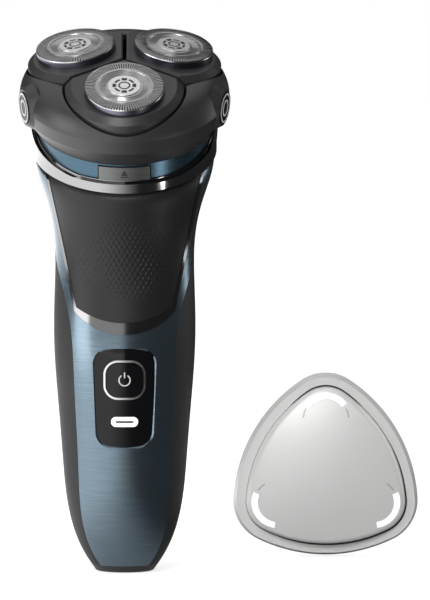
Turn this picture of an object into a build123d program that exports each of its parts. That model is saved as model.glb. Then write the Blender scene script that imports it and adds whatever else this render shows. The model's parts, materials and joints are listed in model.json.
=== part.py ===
"""Electric shaver with three round cutting heads and a loose protection cap.

Millimetres, +Z up. The shaver stands on its base: the origin is the middle of the base's
underside, the front (control panel) faces -Y, and +X is to the right seen from the front.
"""

import os
from math import atan2, cos, degrees, pi, radians, sin

from build123d import *

# Handle: an elliptical form through named sections, narrow base to round neck
BASE_HEIGHT = 2.0
BASE_HALF_WIDTH = 9.6
BASE_HALF_DEPTH = 8.8
BASE_REST_INSET = 1.4
BASE_EDGE_RADIUS = 1.2
HEEL_HEIGHT = 9.0
HEEL_HALF_WIDTH = 13.5
HEEL_HALF_DEPTH = 12.2
SHANK_HEIGHT = 21.0
SHANK_HALF_WIDTH = 16.7
SHANK_HALF_DEPTH = 14.8
GRIP_HEIGHT = 42.0
GRIP_HALF_WIDTH = 18.6
GRIP_HALF_DEPTH = 16.6
BELLY_HEIGHT = 69.0
BELLY_HALF_WIDTH = 20.4
BELLY_HALF_DEPTH = 17.2
WAIST_HEIGHT = 88.0
WAIST_HALF_WIDTH = 20.0
WAIST_HALF_DEPTH = 16.4
WAIST_SET_BACK = 0.6
WAIST_TILT = 7.0
SHOULDER_HEIGHT = 106.0
SHOULDER_HALF_WIDTH = 22.1
SHOULDER_HALF_DEPTH = 20.4
SHOULDER_SET_BACK = 1.6
SHOULDER_TILT = 16.0
WALL = 1.8

# Head: tilted forward, measured down its axis from the plane of the guard tops
HEAD_TILT = 25.0
HEAD_FORWARD = 10.0
HEAD_HEIGHT = 148.6
NECK_RADIUS = 25.7
RING_RADIUS = 26.5
RING_TOP = 26.0
RING_HEIGHT = 4.6
RING_TOP_BEVEL = 1.0
RING_LOWER_BEVEL = 1.0
RING_SIDE_TOP = 21.4
RING_SIDE_RADIUS = 26.9
RING_WAVE_REACH = 22.0
RING_STEP = 0.9
RING_STEP_DROP = 0.7
RING_INNER_RADIUS = 23.8
COLLAR_RADIUS = 25.1
COLLAR_TOP = 21.1
COLLAR_INNER_RADIUS = 23.1
DECK_THICKNESS = 1.6
DECK_SUNK = 1.5
SEAL_HEIGHT = 0.3
SEAL_WIDTH = 0.9

# Head shell: a hollow dome with three pockets for the head seats
SHELL_BOTTOM = 20.6
SHELL_RIM_RADIUS = 25.8
SHELL_CREASE = 15.5
SHELL_CREASE_RADIUS = 29.0
SHELL_WAIST = 11.0
SHELL_WAIST_RADIUS = 30.1
SHELL_SHOULDER = 3.9
SHELL_SHOULDER_RADIUS = 18.6
SHELL_WALL = 1.9
SHELL_LEAN = (-0.1, 1)

# Three head seats, each with a guard and a cutter
HEAD_COUNT = 3
GUARD_CIRCLE_RADIUS = 16.4
GUARD_TILT = 8.7
GUARD_RADIUS = 11.4
GUARD_PROUD = 2.3
GUARD_TOP_THICKNESS = 0.6
GUARD_WALL = 0.5
GUARD_FLANGE = 0.7
GUARD_FLANGE_THICKNESS = 0.9
GUARD_TRACK_INNER_RADIUS = 8.2
GUARD_RING_RADIUS = 7.7
GUARD_RING_DEPTH = 0.35
DISC_RADIUS = 4.7
DISC_THICKNESS = 0.9
DISC_PROUD = 0.15
SEAT_ARC_RADIUS = 17.0
SEAT_ARC_CENTRE = 13.2
SEAT_DEPTH = 9.1
SEAT_WALL = 1.4
SEAT_TOP_THICKNESS = 1.5
SEAT_SLOPE_WIDTH = 1.9
SEAT_SLOPE_DROP = 1.7
SEAT_EDGE_RADIUS = 0.6
SEAT_GROOVE = 0.9
SEAT_POCKET_GAP = 0.8
SEAT_HOLDER_WALL = 1.0
SEAT_HOLDER_BELOW = 1.4
TRUNNION_RADIUS = 1.0
TRUNNION_DEPTH = 6.0
TRUNNION_INSET = 2.4
CUTTER_RADIUS = 10.5
CUTTER_BLADES = 15
CUTTER_BLADE_INNER_RADIUS = 8.3
CUTTER_BLADE_THICKNESS = 0.5
CUTTER_BLADE_MARGIN = 0.1
CUTTER_TOP_GAP = 0.15
CUTTER_PLATE_DEPTH = 4.2
CUTTER_PLATE_THICKNESS = 1.0
CUTTER_BOSS_RADIUS = 4.0
CUTTER_BOSS_BOTTOM = 12.2
CUTTER_SOCKET_DEPTH = 2.4
CUTTER_SOCKET_RADIUS = 3.0
CUTTER_HUB_RADIUS = 1.4
CUTTER_HUB_GAP = 0.3
FRAME_TOP = 15.0
FRAME_THICKNESS = 1.5
FRAME_RADIUS = 26.2
FRAME_WINDOW_RADIUS = 9.4
FRAME_POST_WIDTH = 3.0
FRAME_POST_THICKNESS = 1.8
FRAME_POST_GAP = 0.2
LATCH_BACK = 20.6
LATCH_HALF_WIDTH = 3.0
LATCH_THICKNESS = 1.2
LATCH_TIP = 1.2
BADGE_RADIUS = 4.7
BADGE_THICKNESS = 0.9
BADGE_PROUD = 0.3
BADGE_DEPTH = 11.1
BADGE_TURN = 18.0
BADGE_BOSS_RIM = 0.6
BADGE_BOSS_SLOPE = 32.0

# Drive: one motor pinion, three gears, three spindles
GEAR_MODULE = 0.65
PINION_TEETH = 18
GEAR_TEETH = 25
GEAR_THICKNESS = 2.4
GEAR_TOP = 26.0
PRESSURE_ANGLE = 20.0
ADDENDUM = 0.9
DEDENDUM = 1.2
TOOTH_SLIMMING = 0.16
SPINDLE_RADIUS = 1.75
SPINDLE_TIP_RADIUS = 1.5
SPINDLE_TIP_LENGTH = 4.0
SPINDLE_TOP = 11.2
GEAR_PLATE_THICKNESS = 2.0
BEARING_RADIUS = 3.2
BEARING_GAP = 0.3
COLUMN_CIRCLE_RADIUS = 19.4
COLUMN_RADIUS = 2.2
COLUMN_SCREW_DEPTH = 5.0
MOTOR_RADIUS = 8.2
MOTOR_LENGTH = 14.0
MOTOR_EDGE = 0.8
MOTOR_SHAFT_RADIUS = 1.0

# Fits
RUNNING_GAP = 0.08
ASSEMBLY_GAP = 0.05
BUTTON_GAP = 0.25
MOVING_GAP = 0.4

# Seam between front shell and rear grip, seen from the side as (y, z) points
SEAM_LINE = [(-5.5, -1), (-9.3, 20), (-11.5, 49), (-9.6, 77), (2, 96), (14, 137)]

# Length of a cut or block that only has to run clear of the part
REACH = 60.0
CLEAR_ABOVE = 8.0

# Front of the handle: grip panel, its trim, control panel, button and light
SEAM_GAP = 0.12
RECESS_DEPTH = 1.1
GRIP_PANEL_BOTTOM = 73.0
GRIP_PANEL_CORNER_HEIGHT = 77.2
GRIP_PANEL_CORNER_HALF_WIDTH = 13.9
GRIP_PANEL_TOP_HEIGHT = 122.0
GRIP_PANEL_TOP_HALF_WIDTH = 23.5
GRIP_TRIM_SIDE = 0.65
GRIP_TRIM_BOTTOM = 3.4
GRIP_TRIM_PROUD = 0.15
CONTROL_TOP = 65.7
CONTROL_BOTTOM = 36.9
CONTROL_TOP_HALF_WIDTH = 9.3
CONTROL_BOTTOM_HALF_WIDTH = 8.2
CONTROL_CORNER = 4.6
CONTROL_SUNK = 0.45
BUTTON_HEIGHT = 56.6
BUTTON_HALF_WIDTH = 5.5
BUTTON_HALF_LENGTH = 5.1
BUTTON_CORNER = 3.6
BUTTON_RING = 0.55
BUTTON_PROUD = 0.35
BUTTON_TRAVEL = 0.6
BUTTON_STEM_RADIUS = 2.0
LIGHT_HEIGHT = 44.5
LIGHT_LENGTH = 7.8
LIGHT_WIDTH = 2.9
LIGHT_CHIP_HEIGHT = 0.8
LIGHT_CHIP_SIZE = 3.0
RELEASE_HALF_WIDTH = 7.35
RELEASE_HEIGHT = 4.2
RELEASE_THICKNESS = 2.2
RELEASE_PROUD = 0.5
RELEASE_TRAVEL = 1.0

# Rear hinge of the shaving unit
HINGE_BACK = 28.0
HINGE_DROP = 21.2
HINGE_PIN_RADIUS = 1.1
HINGE_BARREL_RADIUS = 2.2
HINGE_MIDDLE_HALF_LENGTH = 4.0
HINGE_LUG_LENGTH = 3.5
HINGE_WEB_ROOT = 1.4
HINGE_WEB_DROP = 0.6
HINGE_WEB_RISE = 0.4
HINGE_SHELL_ROOT = 1.2
HINGE_SHELL_OUT = 1.6
HINGE_SHELL_UP = 3.0
HINGE_SHELL_SKIN = 0.2

# Inside the handle
CHASSIS_FRONT = 5.6
CHASSIS_THICKNESS = 2.0
CHASSIS_BOTTOM = 16.0
CHASSIS_TOP = 94.0
BATTERY_RADIUS = 7.0
BATTERY_LENGTH = 49.0
BATTERY_BOTTOM = 32.0
CRADLE_WIDTH = 3.0
CRADLE_INSET = 6.0
CRADLE_MARGIN = 1.6
TAB_THICKNESS = 0.4
TAB_WIDTH = 7.0
TAB_LENGTH = 9.8
TAB_CORNER = 1.4
BOARD_STANDOFF = 1.6
BOARD_THICKNESS = 1.2
BOARD_HALF_WIDTH = 8.0
BOARD_BOTTOM = 38.0
BOARD_TOP = 66.0
STANDOFF_RADIUS = 1.8
SCREW_RADIUS = 0.7
SCREW_HEAD_RADIUS = 1.3
SCREW_HEAD_HEIGHT = 0.8
SCREW_MARGIN = 2.6
SWITCH_SIZE = 6.0
SWITCH_CORNER = 0.6
SWITCH_BODY_HEIGHT = 1.8
SWITCH_HEIGHT = 2.6
SWITCH_PLUNGER_RADIUS = 1.5
SOCKET_FLANGE = 1.1
SOCKET_FLANGE_THICKNESS = 1.2
SOCKET_SUNK = 0.6
LIP_HEIGHT = 2.0
LIP_WALL = 0.8
SOCKET_RADIUS = 3.8
SOCKET_WALL = 1.0
SOCKET_HEIGHT = 12.0
SOCKET_DEPTH = 8.5
PIN_RADIUS = 0.8
PIN_SPACING = 3.2
PIN_LENGTH = 3.5

# Protection cap, standing apart on its rim with its outside to the front
CAP_X = 58.5
CAP_Y = 40.0
CAP_CLEARANCE = 0.4
CAP_WALL = 1.0
CAP_SIDE_RADIUS = 45.0
CAP_RIM_DEPTH = 4.6
CAP_RIM_FLARE = 12.0
CAP_LEDGE = 3.3
CAP_DEPTH = 10.5
CAP_DOME_FLARE = 6.0
CAP_DOME_RADIUS = 95.0
CAP_EDGE_RADIUS = 1.5
CAP_SLOT_WIDTH = 1.8
CAP_SLOT_HALF_ANGLE = 54.0
CAP_SLOT_INSET = 0.9

os.makedirs("parts", exist_ok=True)


def save(piece, name):
    """Label a finished piece and write it as its own file."""
    piece.part.label = name
    export_step(piece.part, f"parts/{name}.step")


# Reference planes of the tilted head: local +y is the back, local -y the front
head_plane = Plane(
    origin=(0, -HEAD_FORWARD, HEAD_HEIGHT),
    x_dir=(1, 0, 0),
    z_dir=(0, -sin(radians(HEAD_TILT)), cos(radians(HEAD_TILT))),
)
head_side = Plane(origin=head_plane.origin, x_dir=head_plane.y_dir, z_dir=(1, 0, 0))
ring_bottom = RING_TOP + RING_HEIGHT


def head_level(depth):
    """Plane square to the head axis, at a depth below the guard tops."""
    return head_plane.offset(-depth)


def tilted_section(height, set_back, tilt):
    """Plane of one handle section, leaning forward by a tilt."""
    lean = radians(tilt)
    return Plane(origin=(0, set_back, height), x_dir=(1, 0, 0), z_dir=(0, -sin(lean), cos(lean)))


handle_sections = [
    (tilted_section(BASE_HEIGHT, 0, 0), BASE_HALF_WIDTH, BASE_HALF_DEPTH),
    (tilted_section(HEEL_HEIGHT, 0, 0), HEEL_HALF_WIDTH, HEEL_HALF_DEPTH),
    (tilted_section(SHANK_HEIGHT, 0, 0), SHANK_HALF_WIDTH, SHANK_HALF_DEPTH),
    (tilted_section(GRIP_HEIGHT, 0, 0), GRIP_HALF_WIDTH, GRIP_HALF_DEPTH),
    (tilted_section(BELLY_HEIGHT, 0, 0), BELLY_HALF_WIDTH, BELLY_HALF_DEPTH),
    (tilted_section(WAIST_HEIGHT, WAIST_SET_BACK, WAIST_TILT), WAIST_HALF_WIDTH, WAIST_HALF_DEPTH),
    (
        tilted_section(SHOULDER_HEIGHT, SHOULDER_SET_BACK, SHOULDER_TILT),
        SHOULDER_HALF_WIDTH,
        SHOULDER_HALF_DEPTH,
    ),
    (head_level(ring_bottom), NECK_RADIUS, NECK_RADIUS),
]


def handle_form(inset):
    """The handle's outer form, drawn in by an inset on every side."""
    with BuildPart() as form:
        for plane, half_width, half_depth in handle_sections:
            with BuildSketch(plane):
                Ellipse(half_width - inset, half_depth - inset)
        loft()
    return form.part


outer_form = handle_form(0)
recess_form = handle_form(RECESS_DEPTH)
panel_floor_form = handle_form(RECESS_DEPTH - ASSEMBLY_GAP)
inner_form = handle_form(WALL)
inside_form = handle_form(WALL + ASSEMBLY_GAP)


def seam_side(shift, far):
    """Solid on one side of the seam: far is the y where it ends, shift moves the seam along y."""
    points = [(y + shift, z) for y, z in SEAM_LINE]
    with BuildPart() as side:
        with BuildSketch(Plane.YZ):
            with BuildLine():
                Spline(points)
                Polyline(points[-1], (far, points[-1][1]), (far, points[0][1]), points[0])
            make_face()
        extrude(amount=REACH, both=True)
    return side.part


def grip_prism(side, below):
    """The grip panel's outline run to the front, grown at its sides and at its lower edge."""
    corner = GRIP_PANEL_CORNER_HALF_WIDTH + side
    top = GRIP_PANEL_TOP_HALF_WIDTH + side
    corner_height = GRIP_PANEL_CORNER_HEIGHT - below / 3
    with BuildPart() as prism:
        with BuildSketch(Plane.XZ):
            with BuildLine():
                Polyline(
                    (-corner, corner_height),
                    (-top, GRIP_PANEL_TOP_HEIGHT),
                    (top, GRIP_PANEL_TOP_HEIGHT),
                    (corner, corner_height),
                )
                ThreePointArc(
                    (corner, corner_height),
                    (0, GRIP_PANEL_BOTTOM - below),
                    (-corner, corner_height),
                )
            make_face()
        extrude(amount=REACH)
    return prism.part


def control_prism(grow):
    """The control panel's outline run to the front, grown all round."""
    top = CONTROL_TOP_HALF_WIDTH + grow
    bottom = CONTROL_BOTTOM_HALF_WIDTH + grow
    with BuildPart() as prism:
        with BuildSketch(Plane.XZ) as outline:
            Polygon(
                (-bottom, CONTROL_BOTTOM - grow),
                (bottom, CONTROL_BOTTOM - grow),
                (top, CONTROL_TOP + grow),
                (-top, CONTROL_TOP + grow),
                align=None,
            )
            fillet(outline.vertices(), CONTROL_CORNER + grow)
        extrude(amount=REACH)
    return prism.part


def button_prism(grow, start=0):
    """The power button's outline run to the front from a start depth, grown all round."""
    with BuildPart() as prism:
        with BuildSketch(Plane.XZ.offset(start)):
            with Locations((0, BUTTON_HEIGHT)):
                RectangleRounded(
                    2 * (BUTTON_HALF_WIDTH + grow),
                    2 * (BUTTON_HALF_LENGTH + grow),
                    BUTTON_CORNER + grow,
                )
        extrude(amount=REACH)
    return prism.part


def light_prism(grow, start=0):
    """The status light's outline run to the front from a start depth, grown all round."""
    with BuildPart() as prism:
        with BuildSketch(Plane.XZ.offset(start)):
            with Locations((0, LIGHT_HEIGHT)):
                SlotOverall(LIGHT_LENGTH + 2 * grow, LIGHT_WIDTH + 2 * grow)
        extrude(amount=REACH)
    return prism.part


front_side = seam_side(0, -REACH)
rear_side = seam_side(SEAM_GAP, REACH)

# Handle shells
with BuildPart() as panel_recess:
    add(grip_prism(GRIP_TRIM_SIDE, GRIP_TRIM_BOTTOM))
    add(control_prism(0))
    add(recess_form, mode=Mode.SUBTRACT)

with BuildPart() as front_shell:
    add(outer_form)
    add(inner_form, mode=Mode.SUBTRACT)
    add(front_side, mode=Mode.INTERSECT)
    add(panel_recess.part, mode=Mode.SUBTRACT)
    add(button_prism(ASSEMBLY_GAP), mode=Mode.SUBTRACT)
    add(light_prism(0), mode=Mode.SUBTRACT)
save(front_shell, "front_shell")

with BuildPart() as rear_grip:
    add(outer_form)
    add(inner_form, mode=Mode.SUBTRACT)
    add(rear_side, mode=Mode.INTERSECT)
save(rear_grip, "rear_grip")

with BuildPart() as grip_panel:
    add(grip_prism(-ASSEMBLY_GAP, -ASSEMBLY_GAP))
    add(outer_form, mode=Mode.INTERSECT)
    add(panel_floor_form, mode=Mode.SUBTRACT)
save(grip_panel, "grip_panel")

trim_form = handle_form(-GRIP_TRIM_PROUD)
with BuildPart() as grip_trim:
    add(grip_prism(GRIP_TRIM_SIDE - ASSEMBLY_GAP, GRIP_TRIM_BOTTOM - ASSEMBLY_GAP))
    add(grip_prism(0, 0), mode=Mode.SUBTRACT)
    add(trim_form, mode=Mode.INTERSECT)
    add(panel_floor_form, mode=Mode.SUBTRACT)
save(grip_trim, "grip_trim")

# Control panel with its button, button ring and light
control_face_form = handle_form(CONTROL_SUNK)
button_ring_form = handle_form(CONTROL_SUNK - BUTTON_PROUD / 2)
button_form = handle_form(CONTROL_SUNK - BUTTON_PROUD)
button_floor_form = handle_form(WALL - ASSEMBLY_GAP)

with BuildPart() as control_panel:
    add(control_prism(-ASSEMBLY_GAP))
    add(control_face_form, mode=Mode.INTERSECT)
    add(panel_floor_form, mode=Mode.SUBTRACT)
    add(button_prism(BUTTON_RING + ASSEMBLY_GAP), mode=Mode.SUBTRACT)
    add(light_prism(0), mode=Mode.SUBTRACT)
save(control_panel, "control_panel")

with BuildPart() as power_button_ring:
    add(button_prism(BUTTON_RING))
    add(button_prism(0), mode=Mode.SUBTRACT)
    add(button_ring_form, mode=Mode.INTERSECT)
    add(panel_floor_form, mode=Mode.SUBTRACT)
save(power_button_ring, "power_button_ring")

board_back = CHASSIS_FRONT + BOARD_STANDOFF
board_front = board_back + BOARD_THICKNESS
switch_front = board_front + SWITCH_HEIGHT
stem_end = switch_front + BUTTON_TRAVEL + ASSEMBLY_GAP

with BuildPart() as power_button:
    add(button_prism(-BUTTON_GAP))
    add(button_form, mode=Mode.INTERSECT)
    add(button_floor_form, mode=Mode.SUBTRACT)
    with BuildSketch(Plane.XZ.offset(stem_end)):
        with Locations((0, BUTTON_HEIGHT)):
            Circle(BUTTON_STEM_RADIUS)
    extrude(amount=BELLY_HALF_DEPTH - RECESS_DEPTH - stem_end)
save(power_button, "power_button")

with BuildPart() as status_light:
    add(light_prism(-ASSEMBLY_GAP, board_front + LIGHT_CHIP_HEIGHT + ASSEMBLY_GAP))
    add(control_face_form, mode=Mode.INTERSECT)
save(status_light, "status_light")

# Base cap, charging socket and its pins
socket_outer = SOCKET_RADIUS + SOCKET_WALL
lip_inset = WALL + ASSEMBLY_GAP

with BuildPart() as base_cap:
    with BuildSketch(Plane.XY):
        Ellipse(BASE_HALF_WIDTH - BASE_REST_INSET, BASE_HALF_DEPTH - BASE_REST_INSET)
    with BuildSketch(Plane.XY.offset(BASE_HEIGHT)):
        Ellipse(BASE_HALF_WIDTH, BASE_HALF_DEPTH)
    loft()
    fillet(base_cap.edges().group_by(Axis.Z)[0], BASE_EDGE_RADIUS)
    with BuildSketch(Plane.XY.offset(BASE_HEIGHT)):
        Ellipse(BASE_HALF_WIDTH - lip_inset, BASE_HALF_DEPTH - lip_inset)
        Ellipse(
            BASE_HALF_WIDTH - lip_inset - LIP_WALL,
            BASE_HALF_DEPTH - lip_inset - LIP_WALL,
            mode=Mode.SUBTRACT,
        )
    extrude(amount=LIP_HEIGHT)
    with BuildSketch(Plane.XY):
        Circle(socket_outer + ASSEMBLY_GAP)
    extrude(amount=BASE_HEIGHT, mode=Mode.SUBTRACT)
save(base_cap, "base_cap")

with BuildPart() as charging_socket:
    with BuildSketch(Plane.XY.offset(SOCKET_SUNK)):
        Circle(socket_outer)
    extrude(amount=SOCKET_HEIGHT - SOCKET_SUNK)
    with BuildSketch(Plane.XY.offset(BASE_HEIGHT)):
        Circle(socket_outer + SOCKET_FLANGE)
    extrude(amount=SOCKET_FLANGE_THICKNESS)
    with BuildSketch(Plane.XY.offset(SOCKET_SUNK)):
        Circle(SOCKET_RADIUS)
    extrude(amount=SOCKET_DEPTH - SOCKET_SUNK, mode=Mode.SUBTRACT)
    with BuildSketch(Plane.XY.offset(SOCKET_DEPTH)):
        with GridLocations(PIN_SPACING, 0, 2, 1):
            Circle(PIN_RADIUS + ASSEMBLY_GAP)
    extrude(amount=SOCKET_HEIGHT - SOCKET_DEPTH, mode=Mode.SUBTRACT)
save(charging_socket, "charging_socket")

with BuildPart() as socket_pins:
    with BuildSketch(Plane.XY.offset(SOCKET_DEPTH - PIN_LENGTH)):
        with GridLocations(PIN_SPACING, 0, 2, 1):
            Circle(PIN_RADIUS)
    extrude(amount=SOCKET_HEIGHT - SOCKET_DEPTH + PIN_LENGTH)
save(socket_pins, "socket_pins")

# Chassis with battery, board, switch and light chip
battery_y = CHASSIS_THICKNESS - CHASSIS_FRONT + BATTERY_RADIUS + ASSEMBLY_GAP
battery_top = BATTERY_BOTTOM + BATTERY_LENGTH
screw_columns = 2 * (BOARD_HALF_WIDTH - SCREW_MARGIN)
screw_rows = BOARD_TOP - BOARD_BOTTOM - 2 * SCREW_MARGIN
board_middle = (BOARD_TOP + BOARD_BOTTOM) / 2

with BuildPart() as chassis:
    with BuildSketch(Plane.XZ.offset(CHASSIS_FRONT - CHASSIS_THICKNESS)):
        with Locations((0, (CHASSIS_BOTTOM + CHASSIS_TOP) / 2)):
            Rectangle(2 * BELLY_HALF_WIDTH, CHASSIS_TOP - CHASSIS_BOTTOM)
    extrude(amount=CHASSIS_THICKNESS)
    for rib_height in (BATTERY_BOTTOM + CRADLE_INSET, battery_top - CRADLE_INSET):
        with BuildSketch(Plane.XY.offset(rib_height - CRADLE_WIDTH / 2)):
            with Locations((0, battery_y - BATTERY_RADIUS / 2)):
                Rectangle(2 * (BATTERY_RADIUS + CRADLE_MARGIN), BATTERY_RADIUS + 2 * ASSEMBLY_GAP)
        extrude(amount=CRADLE_WIDTH)
    with BuildSketch(Plane.XY.offset(BATTERY_BOTTOM)):
        with Locations((0, battery_y)):
            Circle(BATTERY_RADIUS + ASSEMBLY_GAP)
    extrude(amount=BATTERY_LENGTH, mode=Mode.SUBTRACT)
    with BuildSketch(Plane.XZ.offset(CHASSIS_FRONT)):
        with Locations((0, board_middle)):
            with GridLocations(screw_columns, screw_rows, 2, 2):
                Circle(STANDOFF_RADIUS)
    extrude(amount=BOARD_STANDOFF)
    with BuildSketch(Plane.XZ.offset(board_back)):
        with Locations((0, board_middle)):
            with GridLocations(screw_columns, screw_rows, 2, 2):
                Circle(SCREW_RADIUS + ASSEMBLY_GAP)
    extrude(amount=-BOARD_STANDOFF - CHASSIS_THICKNESS, mode=Mode.SUBTRACT)
    add(inside_form, mode=Mode.INTERSECT)
save(chassis, "chassis")

with BuildPart() as battery:
    with BuildSketch(Plane.XY.offset(BATTERY_BOTTOM)):
        with Locations((0, battery_y)):
            Circle(BATTERY_RADIUS)
    extrude(amount=BATTERY_LENGTH)
save(battery, "battery")

with BuildPart() as battery_tabs:
    for tab_height in (BATTERY_BOTTOM - TAB_THICKNESS, battery_top):
        with BuildSketch(Plane.XY.offset(tab_height)):
            with Locations((0, battery_y)):
                RectangleRounded(TAB_WIDTH, TAB_LENGTH, TAB_CORNER)
        extrude(amount=TAB_THICKNESS)
save(battery_tabs, "battery_tabs")

with BuildPart() as circuit_board:
    with BuildSketch(Plane.XZ.offset(board_back)):
        with Locations((0, board_middle)):
            RectangleRounded(2 * BOARD_HALF_WIDTH, BOARD_TOP - BOARD_BOTTOM, STANDOFF_RADIUS)
            with GridLocations(screw_columns, screw_rows, 2, 2):
                Circle(SCREW_RADIUS + ASSEMBLY_GAP, mode=Mode.SUBTRACT)
    extrude(amount=BOARD_THICKNESS)
save(circuit_board, "circuit_board")

with BuildPart() as board_screws:
    for amount, radius in (
        (SCREW_HEAD_HEIGHT, SCREW_HEAD_RADIUS),
        (-BOARD_THICKNESS - BOARD_STANDOFF, SCREW_RADIUS),
    ):
        with BuildSketch(Plane.XZ.offset(board_front)):
            with Locations((0, board_middle)):
                with GridLocations(screw_columns, screw_rows, 2, 2):
                    Circle(radius)
        extrude(amount=amount)
save(board_screws, "board_screws")

with BuildPart() as power_switch:
    with BuildSketch(Plane.XZ.offset(board_front)):
        with Locations((0, BUTTON_HEIGHT)):
            RectangleRounded(SWITCH_SIZE, SWITCH_SIZE, SWITCH_CORNER)
    extrude(amount=SWITCH_BODY_HEIGHT)
    with BuildSketch(Plane.XZ.offset(board_front)):
        with Locations((0, BUTTON_HEIGHT)):
            Circle(SWITCH_PLUNGER_RADIUS)
    extrude(amount=SWITCH_HEIGHT)
save(power_switch, "power_switch")

with BuildPart() as light_chip:
    with BuildSketch(Plane.XZ.offset(board_front)):
        with Locations((0, LIGHT_HEIGHT)):
            Rectangle(LIGHT_CHIP_SIZE, LIGHT_CHIP_SIZE / 2)
    extrude(amount=LIGHT_CHIP_HEIGHT)
save(light_chip, "light_chip")

# Neck ring with its bevelled edges
head_axis = Axis(head_plane.origin, head_plane.z_dir)


def head_turned(points):
    """Solid of revolution about the head axis; points are (radius, depth below the guard tops)."""
    with BuildPart() as turned:
        with BuildSketch(head_side):
            Polygon(*[(radius, -depth) for radius, depth in points], align=None)
        revolve(axis=head_axis)
    return turned.part


def ring_roof(drop):
    """Block under the ring's top edge, which is low at the front and back and high at both sides."""
    high = -RING_SIDE_TOP - drop
    low = -RING_TOP - drop
    with BuildPart() as roof:
        with BuildSketch(head_side):
            Polygon(
                (0, high),
                (RING_WAVE_REACH, low),
                (REACH, low),
                (REACH, -REACH),
                (-REACH, -REACH),
                (-REACH, low),
                (-RING_WAVE_REACH, low),
                align=None,
            )
        extrude(amount=REACH, both=True)
    return roof.part


with BuildPart() as ring_band:
    add(
        head_turned(
            [
                (RING_RADIUS - RING_STEP, RING_SIDE_TOP),
                (RING_SIDE_RADIUS, RING_SIDE_TOP),
                (RING_RADIUS, RING_TOP + RING_TOP_BEVEL),
                (RING_RADIUS, ring_bottom - RING_LOWER_BEVEL),
                (NECK_RADIUS, ring_bottom),
                (RING_RADIUS - RING_STEP, ring_bottom),
            ]
        )
    )
    add(ring_roof(RING_STEP_DROP), mode=Mode.INTERSECT)

with BuildPart() as neck_ring:
    add(
        head_turned(
            [
                (COLLAR_RADIUS + ASSEMBLY_GAP, RING_SIDE_TOP),
                (RING_RADIUS - RING_STEP, RING_SIDE_TOP),
                (RING_RADIUS - RING_STEP, ring_bottom),
                (RING_INNER_RADIUS, ring_bottom),
                (RING_INNER_RADIUS, RING_TOP),
                (COLLAR_RADIUS + ASSEMBLY_GAP, RING_TOP),
            ]
        )
    )
    add(ring_roof(0), mode=Mode.INTERSECT)
    add(ring_band.part)
save(neck_ring, "neck_ring")

# Drive deck: the blue collar, the deck plate inside it, and the fixed hinge lugs
deck_top = COLLAR_TOP + DECK_SUNK
deck_bottom = deck_top + DECK_THICKNESS
release_bottom = RING_TOP - ASSEMBLY_GAP
release_top = release_bottom - RELEASE_HEIGHT
gear_distance = GEAR_MODULE * (PINION_TEETH + GEAR_TEETH) / 2
head_angles = [-90 + 360 / HEAD_COUNT * index for index in range(HEAD_COUNT)]
head_names = ["front", "right", "left"]
column_start = head_angles[0] + 180 / HEAD_COUNT


def hinge_lug(side, length, inner_points):
    """One hinge knuckle: a barrel round the pin and the web that carries it, run along X."""
    with BuildPart() as lug:
        with BuildSketch(head_side.offset(side)):
            with Locations((HINGE_BACK, -HINGE_DROP)):
                Circle(HINGE_BARREL_RADIUS)
            Polygon(*[(back, -depth) for back, depth in inner_points], align=None)
        extrude(amount=length)
    return lug.part


def hinge_bore(radius):
    """The bore for the hinge pin, right across."""
    reach = HINGE_MIDDLE_HALF_LENGTH + MOVING_GAP + HINGE_LUG_LENGTH
    with BuildPart() as bore:
        with BuildSketch(head_side.offset(-reach)):
            with Locations((HINGE_BACK, -HINGE_DROP)):
                Circle(radius)
        extrude(amount=2 * reach)
    return bore.part


deck_lug_web = [
    (COLLAR_RADIUS - HINGE_WEB_ROOT, HINGE_DROP + HINGE_WEB_DROP),
    (HINGE_BACK, HINGE_DROP - HINGE_WEB_RISE),
    (HINGE_BACK, HINGE_DROP + HINGE_BARREL_RADIUS),
    (COLLAR_RADIUS - HINGE_WEB_ROOT, RING_TOP - HINGE_WEB_DROP),
]

with BuildPart() as release_window:
    with BuildSketch(head_level(release_bottom)):
        with Locations((0, -RING_RADIUS)):
            Rectangle(
                2 * (RELEASE_HALF_WIDTH + BUTTON_GAP),
                2 * (RING_RADIUS - LATCH_BACK + MOVING_GAP),
            )
    extrude(amount=RELEASE_HEIGHT + BUTTON_GAP)

with BuildPart() as drive_deck:
    add(
        head_turned(
            [
                (0, deck_top),
                (COLLAR_INNER_RADIUS, deck_top),
                (COLLAR_INNER_RADIUS, COLLAR_TOP),
                (COLLAR_RADIUS, COLLAR_TOP),
                (COLLAR_RADIUS, RING_TOP),
                (RING_INNER_RADIUS - ASSEMBLY_GAP, RING_TOP),
                (RING_INNER_RADIUS - ASSEMBLY_GAP, ring_bottom),
                (COLLAR_INNER_RADIUS, ring_bottom),
                (COLLAR_INNER_RADIUS, deck_bottom),
                (0, deck_bottom),
            ]
        )
    )
    lug_start = HINGE_MIDDLE_HALF_LENGTH + MOVING_GAP
    add(hinge_lug(lug_start, HINGE_LUG_LENGTH, deck_lug_web))
    add(hinge_lug(-lug_start - HINGE_LUG_LENGTH, HINGE_LUG_LENGTH, deck_lug_web))
    add(hinge_bore(HINGE_PIN_RADIUS + ASSEMBLY_GAP / 2), mode=Mode.SUBTRACT)
    add(release_window.part, mode=Mode.SUBTRACT)
    with BuildSketch(head_level(deck_bottom)):
        with PolarLocations(gear_distance, HEAD_COUNT, start_angle=head_angles[0]):
            Circle(SPINDLE_RADIUS + RUNNING_GAP)
        with PolarLocations(COLUMN_CIRCLE_RADIUS, HEAD_COUNT, start_angle=column_start):
            Circle(SCREW_RADIUS + ASSEMBLY_GAP)
    extrude(amount=DECK_THICKNESS, mode=Mode.SUBTRACT)
save(drive_deck, "drive_deck")

with BuildPart() as hinge_pin:
    add(hinge_bore(HINGE_PIN_RADIUS))
save(hinge_pin, "hinge_pin")

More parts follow.
